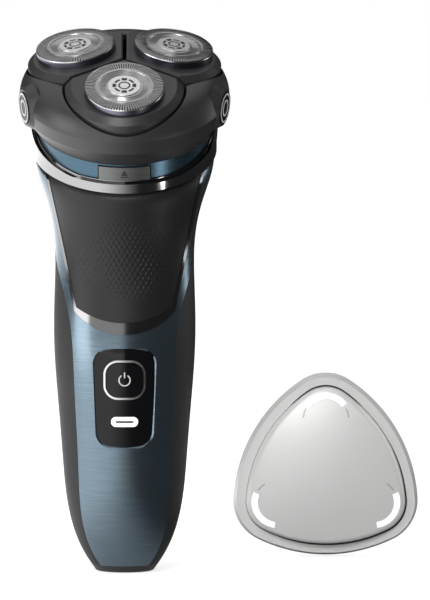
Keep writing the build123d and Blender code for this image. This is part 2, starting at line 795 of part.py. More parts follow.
with BuildPart() as deck_seal:
    with BuildSketch(head_level(COLLAR_TOP)):
        Circle((COLLAR_RADIUS + COLLAR_INNER_RADIUS) / 2 + SEAL_WIDTH / 2)
        Circle((COLLAR_RADIUS + COLLAR_INNER_RADIUS) / 2 - SEAL_WIDTH / 2, mode=Mode.SUBTRACT)
    extrude(amount=SEAL_HEIGHT)
save(deck_seal, "deck_seal")

with BuildPart() as release_button:
    with BuildSketch(head_level(release_bottom)) as release_outline:
        Circle(COLLAR_RADIUS + RELEASE_PROUD)
        Circle(COLLAR_RADIUS + RELEASE_PROUD - RELEASE_THICKNESS, mode=Mode.SUBTRACT)
        with Locations((0, -COLLAR_RADIUS)):
            Rectangle(2 * RELEASE_HALF_WIDTH, COLLAR_RADIUS, mode=Mode.INTERSECT)
    extrude(amount=RELEASE_HEIGHT)
save(release_button, "release_button")

# Gear plate under the deck, with bearing bosses and screw columns
plate_bottom = ring_bottom + GEAR_PLATE_THICKNESS
gear_bottom = GEAR_TOP + GEAR_THICKNESS
bearing_top = gear_bottom + BEARING_GAP

with BuildPart() as gear_plate:
    with BuildSketch(head_level(plate_bottom)):
        Circle(NECK_RADIUS)
    extrude(amount=GEAR_PLATE_THICKNESS)
    add(inside_form, mode=Mode.INTERSECT)
    with BuildSketch(head_level(ring_bottom)):
        with PolarLocations(gear_distance, HEAD_COUNT, start_angle=head_angles[0]):
            Circle(BEARING_RADIUS)
    extrude(amount=ring_bottom - bearing_top)
    with BuildSketch(head_level(ring_bottom)):
        with PolarLocations(COLUMN_CIRCLE_RADIUS, HEAD_COUNT, start_angle=column_start):
            Circle(COLUMN_RADIUS)
    extrude(amount=ring_bottom - deck_bottom)
    with BuildSketch(head_level(plate_bottom)):
        Circle(MOTOR_SHAFT_RADIUS + MOVING_GAP)
        with PolarLocations(gear_distance, HEAD_COUNT, start_angle=head_angles[0]):
            Circle(SPINDLE_RADIUS + RUNNING_GAP)
        with PolarLocations(COLUMN_CIRCLE_RADIUS, HEAD_COUNT, start_angle=column_start):
            Circle(SCREW_RADIUS + ASSEMBLY_GAP)
    extrude(amount=plate_bottom - deck_bottom, mode=Mode.SUBTRACT)
save(gear_plate, "gear_plate")

with BuildPart() as deck_screws:
    for amount, radius in (
        (SCREW_HEAD_HEIGHT, SCREW_HEAD_RADIUS),
        (-DECK_THICKNESS - COLUMN_SCREW_DEPTH, SCREW_RADIUS),
    ):
        with BuildSketch(head_level(deck_top)):
            with PolarLocations(COLUMN_CIRCLE_RADIUS, HEAD_COUNT, start_angle=column_start):
                Circle(radius)
        extrude(amount=amount)
save(deck_screws, "deck_screws")

# Motor, its shaft and pinion
with BuildPart() as motor:
    with BuildSketch(head_level(plate_bottom)):
        Circle(MOTOR_RADIUS)
    extrude(amount=-MOTOR_LENGTH)
    chamfer(motor.edges().filter_by(GeomType.CIRCLE), MOTOR_EDGE)
    with BuildSketch(head_level(plate_bottom)):
        Circle(MOTOR_SHAFT_RADIUS + RUNNING_GAP)
    extrude(amount=-MOTOR_LENGTH / 2, mode=Mode.SUBTRACT)
save(motor, "motor")

with BuildPart() as motor_shaft:
    with BuildSketch(head_level(plate_bottom + MOTOR_LENGTH / 2 - RUNNING_GAP)):
        Circle(MOTOR_SHAFT_RADIUS)
    extrude(amount=plate_bottom + MOTOR_LENGTH / 2 - RUNNING_GAP - deck_bottom - MOVING_GAP)
save(motor_shaft, "motor_shaft")


def gear_points(teeth, first_tooth):
    """Corner points of a straight-flanked spur gear, its first tooth at an angle in degrees."""
    pitch = GEAR_MODULE * teeth / 2
    half_tooth = pi * GEAR_MODULE / 4 - TOOTH_SLIMMING / 2
    slope = sin(radians(PRESSURE_ANGLE)) / cos(radians(PRESSURE_ANGLE))
    points = []
    for tooth in range(teeth):
        middle = radians(first_tooth + 360 / teeth * tooth)
        for step, side in ((-DEDENDUM, -1), (ADDENDUM, -1), (ADDENDUM, 1), (-DEDENDUM, 1)):
            radius = pitch + step * GEAR_MODULE
            turn = middle + side * (half_tooth - step * GEAR_MODULE * slope) / radius
            points.append((radius * cos(turn), radius * sin(turn)))
    return points


with BuildPart() as motor_pinion:
    with BuildSketch(head_level(gear_bottom)):
        Polygon(*gear_points(PINION_TEETH, head_angles[0]), align=None)
        Circle(MOTOR_SHAFT_RADIUS, mode=Mode.SUBTRACT)
    extrude(amount=GEAR_THICKNESS)
save(motor_pinion, "motor_pinion")


def around_head(radius, angle):
    """Offset in the head plane at a radius and an angle in degrees."""
    return (radius * cos(radians(angle)), radius * sin(radians(angle)))


# Three drive gears, each on a spindle that reaches up to its cutter
for name, angle in zip(head_names, head_angles):
    centre_x, centre_y = around_head(gear_distance, angle)
    gear_origin = head_level(gear_bottom).from_local_coords((centre_x, centre_y, 0))
    gear_plane = Plane(origin=gear_origin, x_dir=head_plane.x_dir, z_dir=head_plane.z_dir)

    with BuildPart() as drive_gear:
        with BuildSketch(gear_plane):
            Polygon(*gear_points(GEAR_TEETH, angle + 180 + 180 / GEAR_TEETH), align=None)
            Circle(SPINDLE_RADIUS, mode=Mode.SUBTRACT)
        extrude(amount=GEAR_THICKNESS)
    save(drive_gear, f"drive_gear_{name}")

    with BuildPart() as drive_spindle:
        with BuildSketch(gear_plane.offset(gear_bottom - plate_bottom)):
            Circle(SPINDLE_RADIUS)
        extrude(amount=plate_bottom - SPINDLE_TOP - SPINDLE_TIP_LENGTH)
        with BuildSketch(gear_plane.offset(gear_bottom - SPINDLE_TOP - SPINDLE_TIP_LENGTH)):
            RegularPolygon(SPINDLE_TIP_RADIUS, 6)
        extrude(amount=SPINDLE_TIP_LENGTH)
    save(drive_spindle, f"drive_spindle_{name}")


def guard_plane(angle):
    """Plane of one guard's top: local x points outward, z is the guard's own tilted axis."""
    tilt = radians(GUARD_TILT)
    x, y = around_head(1, angle)
    outward = head_plane.x_dir * x + head_plane.y_dir * y
    upward = head_plane.z_dir
    centre_x, centre_y = around_head(GUARD_CIRCLE_RADIUS, angle)
    return Plane(
        origin=head_plane.from_local_coords((centre_x, centre_y, 0)),
        x_dir=outward * cos(tilt) - upward * sin(tilt),
        z_dir=upward * cos(tilt) + outward * sin(tilt),
    )


def seat_wedge(angle, groove):
    """The third of the head that one seat may fill, with half a groove left free on each side."""
    x, y = around_head(1, angle)
    outward = head_plane.x_dir * x + head_plane.y_dir * y
    plane = Plane(origin=head_plane.origin, x_dir=outward, z_dir=head_plane.z_dir)
    half_angle = radians(180 / HEAD_COUNT)
    apex = groove / 2 / sin(half_angle)
    rise = REACH * sin(half_angle) / cos(half_angle)
    with BuildPart() as wedge:
        with BuildSketch(plane.offset(-RING_TOP)):
            Polygon((apex, 0), (apex + REACH, -rise), (apex + REACH, rise), align=None)
        extrude(amount=2 * RING_TOP)
    return wedge.part


def seat_prism(plane, top, bottom, grow):
    """Round block along a guard's axis between two depths, on the seat's outer arc."""
    with BuildPart() as prism:
        with BuildSketch(plane.offset(-bottom)):
            with Locations((arc_offset, 0)):
                Circle(SEAT_ARC_RADIUS + grow)
        extrude(amount=bottom - top)
    return prism.part


arc_offset = SEAT_ARC_CENTRE - GUARD_CIRCLE_RADIUS


def seat_pivot(plane):
    """Plane across a seat's rocking axis, square to that axis."""
    centre = plane.from_local_coords((-TRUNNION_INSET, 0, -TRUNNION_DEPTH))
    return Plane(origin=centre, x_dir=plane.x_dir, z_dir=plane.y_dir)


def badge_plane(angle):
    """Plane through the head axis at the badges' depth, its z pointing outward at an angle."""
    x, y = around_head(1, angle)
    outward = head_plane.x_dir * x + head_plane.y_dir * y
    return Plane(origin=head_level(BADGE_DEPTH).origin, x_dir=head_plane.z_dir, z_dir=outward)


guard_planes = [guard_plane(angle) for angle in head_angles]
badge_planes = [badge_plane(angle) for angle in (-BADGE_TURN, BADGE_TURN - 180)]
badge_floor = SHELL_WAIST_RADIUS + BADGE_PROUD - BADGE_THICKNESS
boss_height = SHELL_WAIST_RADIUS - SHELL_CREASE_RADIUS + SHELL_WALL
boss_spread = boss_height * sin(radians(BADGE_BOSS_SLOPE)) / cos(radians(BADGE_BOSS_SLOPE))
pocket_floor = SEAT_DEPTH + SEAT_POCKET_GAP

# Head shell: a turned dome, opened for the three seats, with a boss for each badge
with BuildPart() as head_shell:
    with BuildSketch(head_side):
        with BuildLine():
            Polyline(
                (SHELL_WAIST_RADIUS - SHELL_WALL, -SHELL_WAIST),
                (SHELL_CREASE_RADIUS - SHELL_WALL, -SHELL_CREASE),
                (SHELL_RIM_RADIUS - SHELL_WALL, -SHELL_BOTTOM),
                (SHELL_RIM_RADIUS, -SHELL_BOTTOM),
                (SHELL_CREASE_RADIUS, -SHELL_CREASE),
                (SHELL_WAIST_RADIUS, -SHELL_WAIST),
            )
            outer_top = (SHELL_SHOULDER_RADIUS, -SHELL_SHOULDER)
            inner_top = (SHELL_SHOULDER_RADIUS, -SHELL_SHOULDER - SHELL_WALL)
            inner_waist = (SHELL_WAIST_RADIUS - SHELL_WALL, -SHELL_WAIST)
            TangentArc((SHELL_WAIST_RADIUS, -SHELL_WAIST), outer_top, tangent=SHELL_LEAN)
            Line(outer_top, inner_top)
            TangentArc(inner_waist, inner_top, tangent=SHELL_LEAN)
        make_face()
    revolve(axis=head_axis)
    for plane in guard_planes:
        add(seat_prism(plane, -CLEAR_ABOVE, pocket_floor, SEAT_POCKET_GAP), mode=Mode.SUBTRACT)
    for plane in badge_planes:
        with BuildSketch(plane.offset(SHELL_CREASE_RADIUS - SHELL_WALL)):
            Circle(BADGE_RADIUS + BADGE_BOSS_RIM + boss_spread)
        extrude(amount=boss_height, taper=BADGE_BOSS_SLOPE)
        with BuildSketch(plane.offset(badge_floor)):
            Circle(BADGE_RADIUS + ASSEMBLY_GAP)
        extrude(amount=BADGE_THICKNESS, mode=Mode.SUBTRACT)
    shell_lug_web = [
        (SHELL_RIM_RADIUS - HINGE_SHELL_ROOT, SHELL_BOTTOM - HINGE_SHELL_SKIN),
        (SHELL_RIM_RADIUS + HINGE_SHELL_OUT, SHELL_BOTTOM - HINGE_SHELL_UP),
        (HINGE_BACK + HINGE_BARREL_RADIUS - HINGE_SHELL_SKIN, HINGE_DROP - HINGE_WEB_DROP),
        (HINGE_BACK, HINGE_DROP),
    ]
    add(hinge_lug(-HINGE_MIDDLE_HALF_LENGTH, 2 * HINGE_MIDDLE_HALF_LENGTH, shell_lug_web))
    add(hinge_bore(HINGE_PIN_RADIUS + RUNNING_GAP), mode=Mode.SUBTRACT)
save(head_shell, "head_shell")

with BuildPart() as side_badges:
    for plane in badge_planes:
        with BuildSketch(plane.offset(badge_floor)):
            Circle(BADGE_RADIUS)
        extrude(amount=BADGE_THICKNESS)
save(side_badges, "side_badges")

# Retaining frame with two bearing posts for each seat
holder_radius = GUARD_RADIUS + GUARD_FLANGE + ASSEMBLY_GAP + SEAT_HOLDER_WALL
post_start = holder_radius + FRAME_POST_GAP
frame_bottom = FRAME_TOP + FRAME_THICKNESS
with BuildPart() as retaining_frame:
    for plane in guard_planes:
        for side in (-1, 1):
            with BuildSketch(plane.offset(-TRUNNION_DEPTH - CLEAR_ABOVE * 2)):
                with Locations((-TRUNNION_INSET, side * (post_start + FRAME_POST_THICKNESS / 2))):
                    Rectangle(FRAME_POST_WIDTH, FRAME_POST_THICKNESS)
            extrude(amount=CLEAR_ABOVE * 2 + FRAME_POST_WIDTH / 2)
    with BuildSketch(head_level(frame_bottom + REACH)):
        Circle(REACH)
    extrude(amount=REACH, mode=Mode.SUBTRACT)
    with BuildSketch(head_level(frame_bottom)):
        Circle(FRAME_RADIUS)
    extrude(amount=FRAME_THICKNESS)
    for plane in guard_planes:
        with BuildSketch(plane.offset(-frame_bottom - CLEAR_ABOVE)):
            Circle(FRAME_WINDOW_RADIUS)
        extrude(amount=2 * CLEAR_ABOVE, mode=Mode.SUBTRACT)
        trunnion_plane = seat_pivot(plane)
        with BuildSketch(trunnion_plane.offset(-REACH / 2)):
            Circle(TRUNNION_RADIUS + RUNNING_GAP)
        extrude(amount=REACH, mode=Mode.SUBTRACT)
save(retaining_frame, "retaining_frame")

# The latch that the release button lets go, hanging from the retaining frame
with BuildPart() as head_latch:
    with BuildSketch(head_level(deck_top + LATCH_TIP)):
        with Locations((0, -LATCH_BACK - LATCH_THICKNESS / 2)):
            Rectangle(2 * LATCH_HALF_WIDTH, LATCH_THICKNESS)
    extrude(amount=deck_top + LATCH_TIP - frame_bottom)
save(head_latch, "head_latch")

# Three head seats, each with its guard, guard disc and cutter
seat_plate_bottom = GUARD_PROUD + SEAT_TOP_THICKNESS
holder_bottom = TRUNNION_DEPTH + SEAT_HOLDER_BELOW
flange_top = seat_plate_bottom + ASSEMBLY_GAP
guard_inner = GUARD_RADIUS - GUARD_WALL
cutter_top = GUARD_TOP_THICKNESS + CUTTER_TOP_GAP
blade_length = CUTTER_RADIUS - CUTTER_BLADE_INNER_RADIUS - 2 * CUTTER_BLADE_MARGIN

for name, angle, plane in zip(head_names, head_angles, guard_planes):
    seat_axis = Axis(plane.origin, plane.z_dir)

    with BuildPart() as seat_hollow:
        add(seat_prism(plane, seat_plate_bottom, SEAT_DEPTH, -SEAT_WALL))
        add(seat_wedge(angle, SEAT_GROOVE + 2 * SEAT_WALL), mode=Mode.INTERSECT)

    with BuildPart() as head_seat:
        add(seat_prism(plane, GUARD_PROUD, SEAT_DEPTH, 0))
        add(seat_wedge(angle, SEAT_GROOVE), mode=Mode.INTERSECT)
        seat_top = head_seat.faces().sort_by(seat_axis)[-1]
        outer_edge = seat_top.edges().filter_by(GeomType.CIRCLE)
        chamfer(outer_edge, SEAT_SLOPE_WIDTH, SEAT_SLOPE_DROP, reference=seat_top)
        fillet(head_seat.faces().sort_by(seat_axis)[-1].edges(), SEAT_EDGE_RADIUS)
        add(seat_hollow.part, mode=Mode.SUBTRACT)
        with BuildSketch(plane.offset(-holder_bottom)):
            Circle(holder_radius)
        extrude(amount=holder_bottom - seat_plate_bottom)
        trunnion_plane = seat_pivot(plane)
        trunnion_reach = post_start + FRAME_POST_THICKNESS
        with BuildSketch(trunnion_plane.offset(-trunnion_reach)):
            Circle(TRUNNION_RADIUS)
        extrude(amount=2 * trunnion_reach)
        add(seat_wedge(angle, SEAT_GROOVE), mode=Mode.INTERSECT)
        with BuildSketch(plane.offset(-SEAT_DEPTH)):
            Circle(GUARD_RADIUS + GUARD_FLANGE + ASSEMBLY_GAP)
        extrude(amount=SEAT_DEPTH - seat_plate_bottom, mode=Mode.SUBTRACT)
        with BuildSketch(plane.offset(-seat_plate_bottom)):
            Circle(GUARD_RADIUS + ASSEMBLY_GAP)
        extrude(amount=SEAT_TOP_THICKNESS + CLEAR_ABOVE, mode=Mode.SUBTRACT)
    save(head_seat, f"head_seat_{name}")

    guard_side = Plane(origin=plane.origin, x_dir=plane.x_dir, z_dir=plane.y_dir * -1)
    with BuildPart() as guard:
        with BuildSketch(guard_side):
            Polygon(
                (DISC_RADIUS + ASSEMBLY_GAP, -GUARD_RING_DEPTH),
                (GUARD_RING_RADIUS, -GUARD_RING_DEPTH),
                (GUARD_TRACK_INNER_RADIUS, 0),
                (GUARD_RADIUS - GUARD_RING_DEPTH, 0),
                (GUARD_RADIUS, -GUARD_RING_DEPTH),
                (GUARD_RADIUS, -flange_top),
                (GUARD_RADIUS + GUARD_FLANGE, -flange_top),
                (GUARD_RADIUS + GUARD_FLANGE, -flange_top - GUARD_FLANGE_THICKNESS),
                (guard_inner, -flange_top - GUARD_FLANGE_THICKNESS),
                (guard_inner, -GUARD_TOP_THICKNESS),
                (GUARD_TRACK_INNER_RADIUS, -GUARD_TOP_THICKNESS),
                (GUARD_RING_RADIUS, -GUARD_TOP_THICKNESS - GUARD_RING_DEPTH),
                (DISC_RADIUS + ASSEMBLY_GAP, -GUARD_TOP_THICKNESS - GUARD_RING_DEPTH),
                align=None,
            )
        revolve(axis=seat_axis)
    save(guard, f"guard_{name}")

    with BuildPart() as guard_disc:
        with BuildSketch(plane.offset(DISC_PROUD - DISC_THICKNESS)):
            Circle(DISC_RADIUS)
        extrude(amount=DISC_THICKNESS)
        fillet(guard_disc.faces().sort_by(seat_axis)[-1].edges(), DISC_PROUD)
    save(guard_disc, f"guard_disc_{name}")

    with BuildPart() as cutter:
        with BuildSketch(plane.offset(-CUTTER_PLATE_DEPTH - CUTTER_PLATE_THICKNESS)):
            Circle(CUTTER_RADIUS)
        extrude(amount=CUTTER_PLATE_THICKNESS)
        with BuildSketch(plane.offset(-CUTTER_PLATE_DEPTH)):
            with PolarLocations((CUTTER_RADIUS + CUTTER_BLADE_INNER_RADIUS) / 2, CUTTER_BLADES):
                Rectangle(blade_length, CUTTER_BLADE_THICKNESS)
        extrude(amount=CUTTER_PLATE_DEPTH - cutter_top)
        with BuildSketch(plane.offset(-CUTTER_PLATE_DEPTH)):
            Circle(CUTTER_HUB_RADIUS)
        extrude(amount=CUTTER_PLATE_DEPTH - DISC_THICKNESS + DISC_PROUD - CUTTER_HUB_GAP)
        with BuildSketch(plane.offset(-CUTTER_BOSS_BOTTOM)):
            Circle(CUTTER_BOSS_RADIUS)
        extrude(amount=CUTTER_BOSS_BOTTOM - CUTTER_PLATE_DEPTH)
        with BuildSketch(plane.offset(-CUTTER_BOSS_BOTTOM)):
            Circle(CUTTER_SOCKET_RADIUS)
        extrude(amount=CUTTER_SOCKET_DEPTH, mode=Mode.SUBTRACT)
    save(cutter, f"cutter_{name}")

# Protection cap: a rounded triangle with a domed face, standing on one side of its rim
cap_corner_radius = GUARD_RADIUS + CAP_CLEARANCE + CAP_WALL
side_reach = CAP_SIDE_RADIUS - cap_corner_radius
half_turn = 180 / HEAD_COUNT
half_side = GUARD_CIRCLE_RADIUS * sin(radians(half_turn))
inradius = GUARD_CIRCLE_RADIUS * cos(radians(half_turn))
side_centre = (side_reach**2 - half_side**2) ** 0.5 - inradius
cap_bottom = CAP_SIDE_RADIUS - side_centre
cap_plane = Plane(origin=(CAP_X, CAP_Y, cap_bottom), x_dir=(1, 0, 0), z_dir=(0, -1, 0))
cap_corners = [90 + 2 * half_turn * index for index in range(HEAD_COUNT)]


def cap_outline(grow):
    """Edge of the cap's rounded triangle, grown all round, as arcs that meet smoothly."""
    corner_radius = cap_corner_radius + grow
    tangent_turn = degrees(atan2(half_side, side_centre + inradius))
    with BuildLine(mode=Mode.PRIVATE) as edge:
        for angle in cap_corners:
            corner = Vector(*around_head(GUARD_CIRCLE_RADIUS, angle))
            swing = half_turn - tangent_turn
            start = corner + Vector(*around_head(corner_radius, angle - swing))
            middle = corner + Vector(*around_head(corner_radius, angle))
            end = corner + Vector(*around_head(corner_radius, angle + swing))
            side_middle = Vector(*around_head(cap_bottom + grow, angle + half_turn))
            next_corner = Vector(*around_head(GUARD_CIRCLE_RADIUS, angle + 2 * half_turn))
            next_start = next_corner + Vector(*around_head(corner_radius, angle + 2 * half_turn - swing))
            ThreePointArc(start, middle, end)
            ThreePointArc(end, side_middle, next_start)
    return edge.line


def cap_block(inset, edge_radius):
    """Solid block of the cap's form: a low flared rim, and on it a smaller block under a dome."""
    dome_radius = CAP_DOME_RADIUS - inset
    depth = CAP_DEPTH - inset
    with BuildPart() as block:
        with BuildSketch(cap_plane):
            with BuildLine():
                add(cap_outline(-inset - CAP_LEDGE))
            make_face()
        extrude(amount=CAP_DEPTH, taper=CAP_DOME_FLARE)
        with Locations(cap_plane.offset(depth - dome_radius)):
            Sphere(dome_radius, mode=Mode.INTERSECT)
        fillet(block.faces().filter_by(GeomType.SPHERE)[0].edges(), edge_radius)
        with BuildSketch(cap_plane):
            with BuildLine():
                add(cap_outline(-inset))
            make_face()
        extrude(amount=CAP_RIM_DEPTH - inset, taper=CAP_RIM_FLARE)
    return block.part


cap_edge_inset = CAP_DEPTH * sin(radians(CAP_DOME_FLARE)) / cos(radians(CAP_DOME_FLARE))
slot_outer = cap_corner_radius - CAP_LEDGE - cap_edge_inset - CAP_SLOT_INSET
slot_inner = slot_outer - CAP_SLOT_WIDTH

with BuildPart() as protection_cap:
    add(cap_block(0, CAP_EDGE_RADIUS))
    add(cap_block(CAP_WALL, CAP_EDGE_RADIUS - CAP_WALL), mode=Mode.SUBTRACT)
    for angle in cap_corners:
        corner = Vector(*around_head(GUARD_CIRCLE_RADIUS, angle))
        turns = (angle - CAP_SLOT_HALF_ANGLE, angle, angle + CAP_SLOT_HALF_ANGLE)
        outer_points = [corner + Vector(*around_head(slot_outer, turn)) for turn in turns]
        inner_points = [corner + Vector(*around_head(slot_inner, turn)) for turn in turns]
        with BuildSketch(cap_plane.offset(CAP_RIM_DEPTH)):
            with BuildLine():
                ThreePointArc(*outer_points)
                ThreePointArc(*inner_points)
                Line(outer_points[0], inner_points[0])
                Line(outer_points[2], inner_points[2])
            make_face()
        extrude(amount=CAP_DEPTH, mode=Mode.SUBTRACT)
save(protection_cap, "protection_cap")
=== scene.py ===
"""Looks of an electric shaver with three round heads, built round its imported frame."""
import json
from math import atan2, cos, degrees, hypot, pi, radians, sin

import bpy
from mathutils import Matrix, Vector


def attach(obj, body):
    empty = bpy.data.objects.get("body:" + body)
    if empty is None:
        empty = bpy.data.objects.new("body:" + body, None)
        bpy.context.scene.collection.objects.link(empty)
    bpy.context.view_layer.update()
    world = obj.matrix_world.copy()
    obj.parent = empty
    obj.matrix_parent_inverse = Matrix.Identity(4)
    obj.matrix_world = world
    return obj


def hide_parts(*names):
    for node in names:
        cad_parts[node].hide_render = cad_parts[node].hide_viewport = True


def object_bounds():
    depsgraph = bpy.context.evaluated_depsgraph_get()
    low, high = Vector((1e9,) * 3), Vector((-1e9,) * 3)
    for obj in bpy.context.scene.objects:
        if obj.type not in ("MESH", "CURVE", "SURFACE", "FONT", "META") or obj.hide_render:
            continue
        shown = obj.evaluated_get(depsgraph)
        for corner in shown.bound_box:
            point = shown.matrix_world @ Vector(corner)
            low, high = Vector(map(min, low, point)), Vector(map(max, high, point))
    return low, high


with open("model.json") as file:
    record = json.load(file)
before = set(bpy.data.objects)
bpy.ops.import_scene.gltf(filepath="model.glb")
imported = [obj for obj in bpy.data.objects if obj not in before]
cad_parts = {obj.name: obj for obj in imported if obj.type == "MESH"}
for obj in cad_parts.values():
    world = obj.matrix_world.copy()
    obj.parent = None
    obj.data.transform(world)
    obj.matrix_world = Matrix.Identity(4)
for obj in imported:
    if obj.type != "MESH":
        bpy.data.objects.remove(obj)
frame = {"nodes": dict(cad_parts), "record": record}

bl_info = {
    "name": "Rotary shaver looks",
    "version": (1, 0, 0),
    "blender": (4, 5, 0),
    "location": "View3D > Sidebar > Shaver",
    "description": "Finishes, guards, symbols and studio for a rotary shaver",
    "category": "Object",
}

MM = 0.001
CAD_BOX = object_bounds()
SIDES = ("front", "right", "left")
JOINTS = {joint["name"]: joint for joint in frame["record"]["behaviour"]["joints"]}
HEAD_TOP = Vector(JOINTS["motor_spin"]["pos_m"])
HEAD_UP = Vector(JOINTS["motor_spin"]["axis"]).normalized()
HEAD_BACK = HEAD_UP.cross(Vector((1, 0, 0)))


class ShaverSizes(bpy.types.PropertyGroup):
    """Sizes of the pieces that are added to the frame."""

    guard_slots: bpy.props.IntProperty(
        name="Guard slots", description="Hair slots round one guard", default=90)
    guard_radius: bpy.props.FloatProperty(
        name="Guard radius", description="Outer radius of one guard", default=11.4 * MM, unit="LENGTH")
    guard_wall_top: bpy.props.FloatProperty(
        name="Guard wall top", description="Depth where a guard's dark side wall ends", default=0.55 * MM,
        unit="LENGTH")
    badge_radius: bpy.props.FloatProperty(
        name="Badge radius", description="Radius of a side badge", default=4.7 * MM, unit="LENGTH")
    badge_turn: bpy.props.FloatProperty(
        name="Badge turn", description="How far a badge is turned to the front", default=radians(18),
        subtype="ANGLE")
    badge_depth: bpy.props.FloatProperty(
        name="Badge depth", description="Depth of the badges below the guard tops", default=11.1 * MM,
        unit="LENGTH")
    badge_reach: bpy.props.FloatProperty(
        name="Badge reach", description="Distance of a badge's face from the head axis", default=30.4 * MM,
        unit="LENGTH")
    power_height: bpy.props.FloatProperty(
        name="Power height", description="Height of the power symbol", default=56.6 * MM, unit="LENGTH")
    light_height: bpy.props.FloatProperty(
        name="Light height", description="Height of the status light", default=44.5 * MM, unit="LENGTH")
    cap_corner_circle: bpy.props.FloatProperty(
        name="Cap corner circle", description="Distance of the cap's corner centres from its middle",
        default=16.4 * MM, unit="LENGTH")
    cap_corner_radius: bpy.props.FloatProperty(
        name="Cap corner radius", description="Radius of the cap's corners", default=12.8 * MM,
        unit="LENGTH")
    cap_side_radius: bpy.props.FloatProperty(
        name="Cap side radius", description="Radius of the cap's long sides", default=45.0 * MM,
        unit="LENGTH")
    cap_dome_inset: bpy.props.FloatProperty(
        name="Cap dome inset", description="Distance of the dome's foot from the rim", default=3.75 * MM,
        unit="LENGTH")
    cap_rim_depth: bpy.props.FloatProperty(
        name="Cap rim depth", description="Depth of the cap's rim", default=4.62 * MM, unit="LENGTH")
    cap_crown_radius: bpy.props.FloatProperty(
        name="Cap crown", description="Radius of the smooth crown in the middle of the dome",
        default=3.0 * MM, unit="LENGTH")
    cap_slot_radius: bpy.props.FloatProperty(
        name="Cap slot radius", description="Radius of the middle of the cap's slots", default=6.6 * MM,
        unit="LENGTH")
    lattice_pitch: bpy.props.FloatProperty(
        name="Lattice pitch", description="Distance between embossed points", default=1.5 * MM,
        unit="LENGTH")
    lattice_rise: bpy.props.FloatProperty(
        name="Lattice rise", description="Height of the embossed points", default=0.20 * MM, unit="LENGTH")


class ShaverColours(bpy.types.PropertyGroup):
    """Colours of the finishes."""

    blue: bpy.props.FloatVectorProperty(
        name="Shell blue", description="Metallic blue of the shell", default=(0.120, 0.163, 0.196),
        subtype="COLOR", size=3)
    # Painted shade: the collar is the shell's own blue, darkened here for the shade it lies in under the
    # head
    collar: bpy.props.FloatVectorProperty(
        name="Collar blue", description="Deeper blue of the collar under the head",
        default=(0.055, 0.102, 0.138), subtype="COLOR", size=3)
    grip: bpy.props.FloatVectorProperty(
        name="Grip grey", description="Dark grey of the rear grip", default=(0.024, 0.024, 0.0245),
        subtype="COLOR", size=3)
    soft_black: bpy.props.FloatVectorProperty(
        name="Soft black", description="Soft-touch black of the front panel",
        default=(0.013, 0.0133, 0.0136), subtype="COLOR", size=3)
    head_black: bpy.props.FloatVectorProperty(
        name="Head black", description="Satin black of the head", default=(0.027, 0.027, 0.0275),
        subtype="COLOR", size=3)
    gloss_black: bpy.props.FloatVectorProperty(
        name="Gloss black", description="Polished black of the controls", default=(0.006, 0.006, 0.007),
        subtype="COLOR", size=3)
    chrome: bpy.props.FloatVectorProperty(
        name="Dark chrome", description="Black chrome of the ring and trim", default=(0.28, 0.277, 0.28),
        subtype="COLOR", size=3)
    steel: bpy.props.FloatVectorProperty(
        name="Guard steel", description="Ground steel of the guards", default=(0.42, 0.416, 0.42),
        subtype="COLOR", size=3)
    cap: bpy.props.FloatVectorProperty(
        name="Cap silver", description="Satin silver of the cap", default=(0.88, 0.88, 0.87),
        subtype="COLOR", size=3)
    floor: bpy.props.FloatVectorProperty(
        name="Floor", description="Pale studio floor", default=(0.55, 0.55, 0.55), subtype="COLOR", size=3)


def sizes():
    """The size properties of this scene."""
    return bpy.context.scene.shaver_sizes


def colours():
    """The colour properties of this scene."""
    return bpy.context.scene.shaver_colours


# Modelling helpers

def deselect():
    """Leaves nothing selected, so that the next operator acts on the new piece alone."""
    if bpy.context.object and bpy.context.object.mode != "OBJECT":
        bpy.ops.object.mode_set(mode="OBJECT")
    bpy.ops.object.select_all(action="DESELECT")


def start_ring(name, segments, radius, height):
    """A bare circle in edit mode, the first edge loop of a turned piece."""
    deselect()
    bpy.ops.mesh.primitive_circle_add(vertices=segments, radius=radius, location=(0, 0, height))
    piece = bpy.context.object
    piece.name = name
    bpy.ops.object.transform_apply(location=True, rotation=True, scale=True)
    bpy.ops.object.mode_set(mode="EDIT")
    bpy.ops.mesh.select_all(action="SELECT")
    return piece


def next_ring(old, new):
    """Extrudes the selected loop from one (radius, height) to the next."""
    factor = new[0] / old[0]
    bpy.ops.mesh.extrude_edges_move()
    bpy.ops.transform.resize(value=(factor, factor, 1))
    bpy.ops.transform.translate(value=(0, 0, new[1] - old[1]))


def turned_piece(name, segments, profile):
    """A skin turned round Z through a list of (radius, height) points; the last loop stays selected."""
    piece = start_ring(name, segments, *profile[0])
    for old, new in zip(profile, profile[1:]):
        next_ring(old, new)
    return piece


def delete_faces(piece, test):
    """Deletes the faces whose middle passes a test, from edit mode, and returns to object mode."""
    bpy.ops.mesh.select_mode(type="FACE")
    bpy.ops.mesh.select_all(action="DESELECT")
    bpy.ops.object.mode_set(mode="OBJECT")
    for face in piece.data.polygons:
        face.select = test(face.center)
    bpy.ops.object.mode_set(mode="EDIT")
    bpy.ops.mesh.delete(type="FACE")
    bpy.ops.mesh.select_mode(type="VERT")
    bpy.ops.object.mode_set(mode="OBJECT")


def tidy_normals(piece):
    """Merges doubles and turns every face outwards."""
    bpy.ops.object.mode_set(mode="EDIT")
    bpy.ops.mesh.select_all(action="SELECT")
    bpy.ops.mesh.remove_doubles(threshold=1e-7)
    bpy.ops.mesh.normals_make_consistent(inside=False)
    bpy.ops.object.mode_set(mode="OBJECT")


def apply_modifier(piece, kind, **values):
    """Adds one modifier, sets it and applies it."""
    modifier = piece.modifiers.new(kind.title(), kind)
    for key, value in values.items():
        setattr(modifier, key, value)
    bpy.context.view_layer.objects.active = piece
    bpy.ops.object.modifier_apply(modifier=modifier.name)


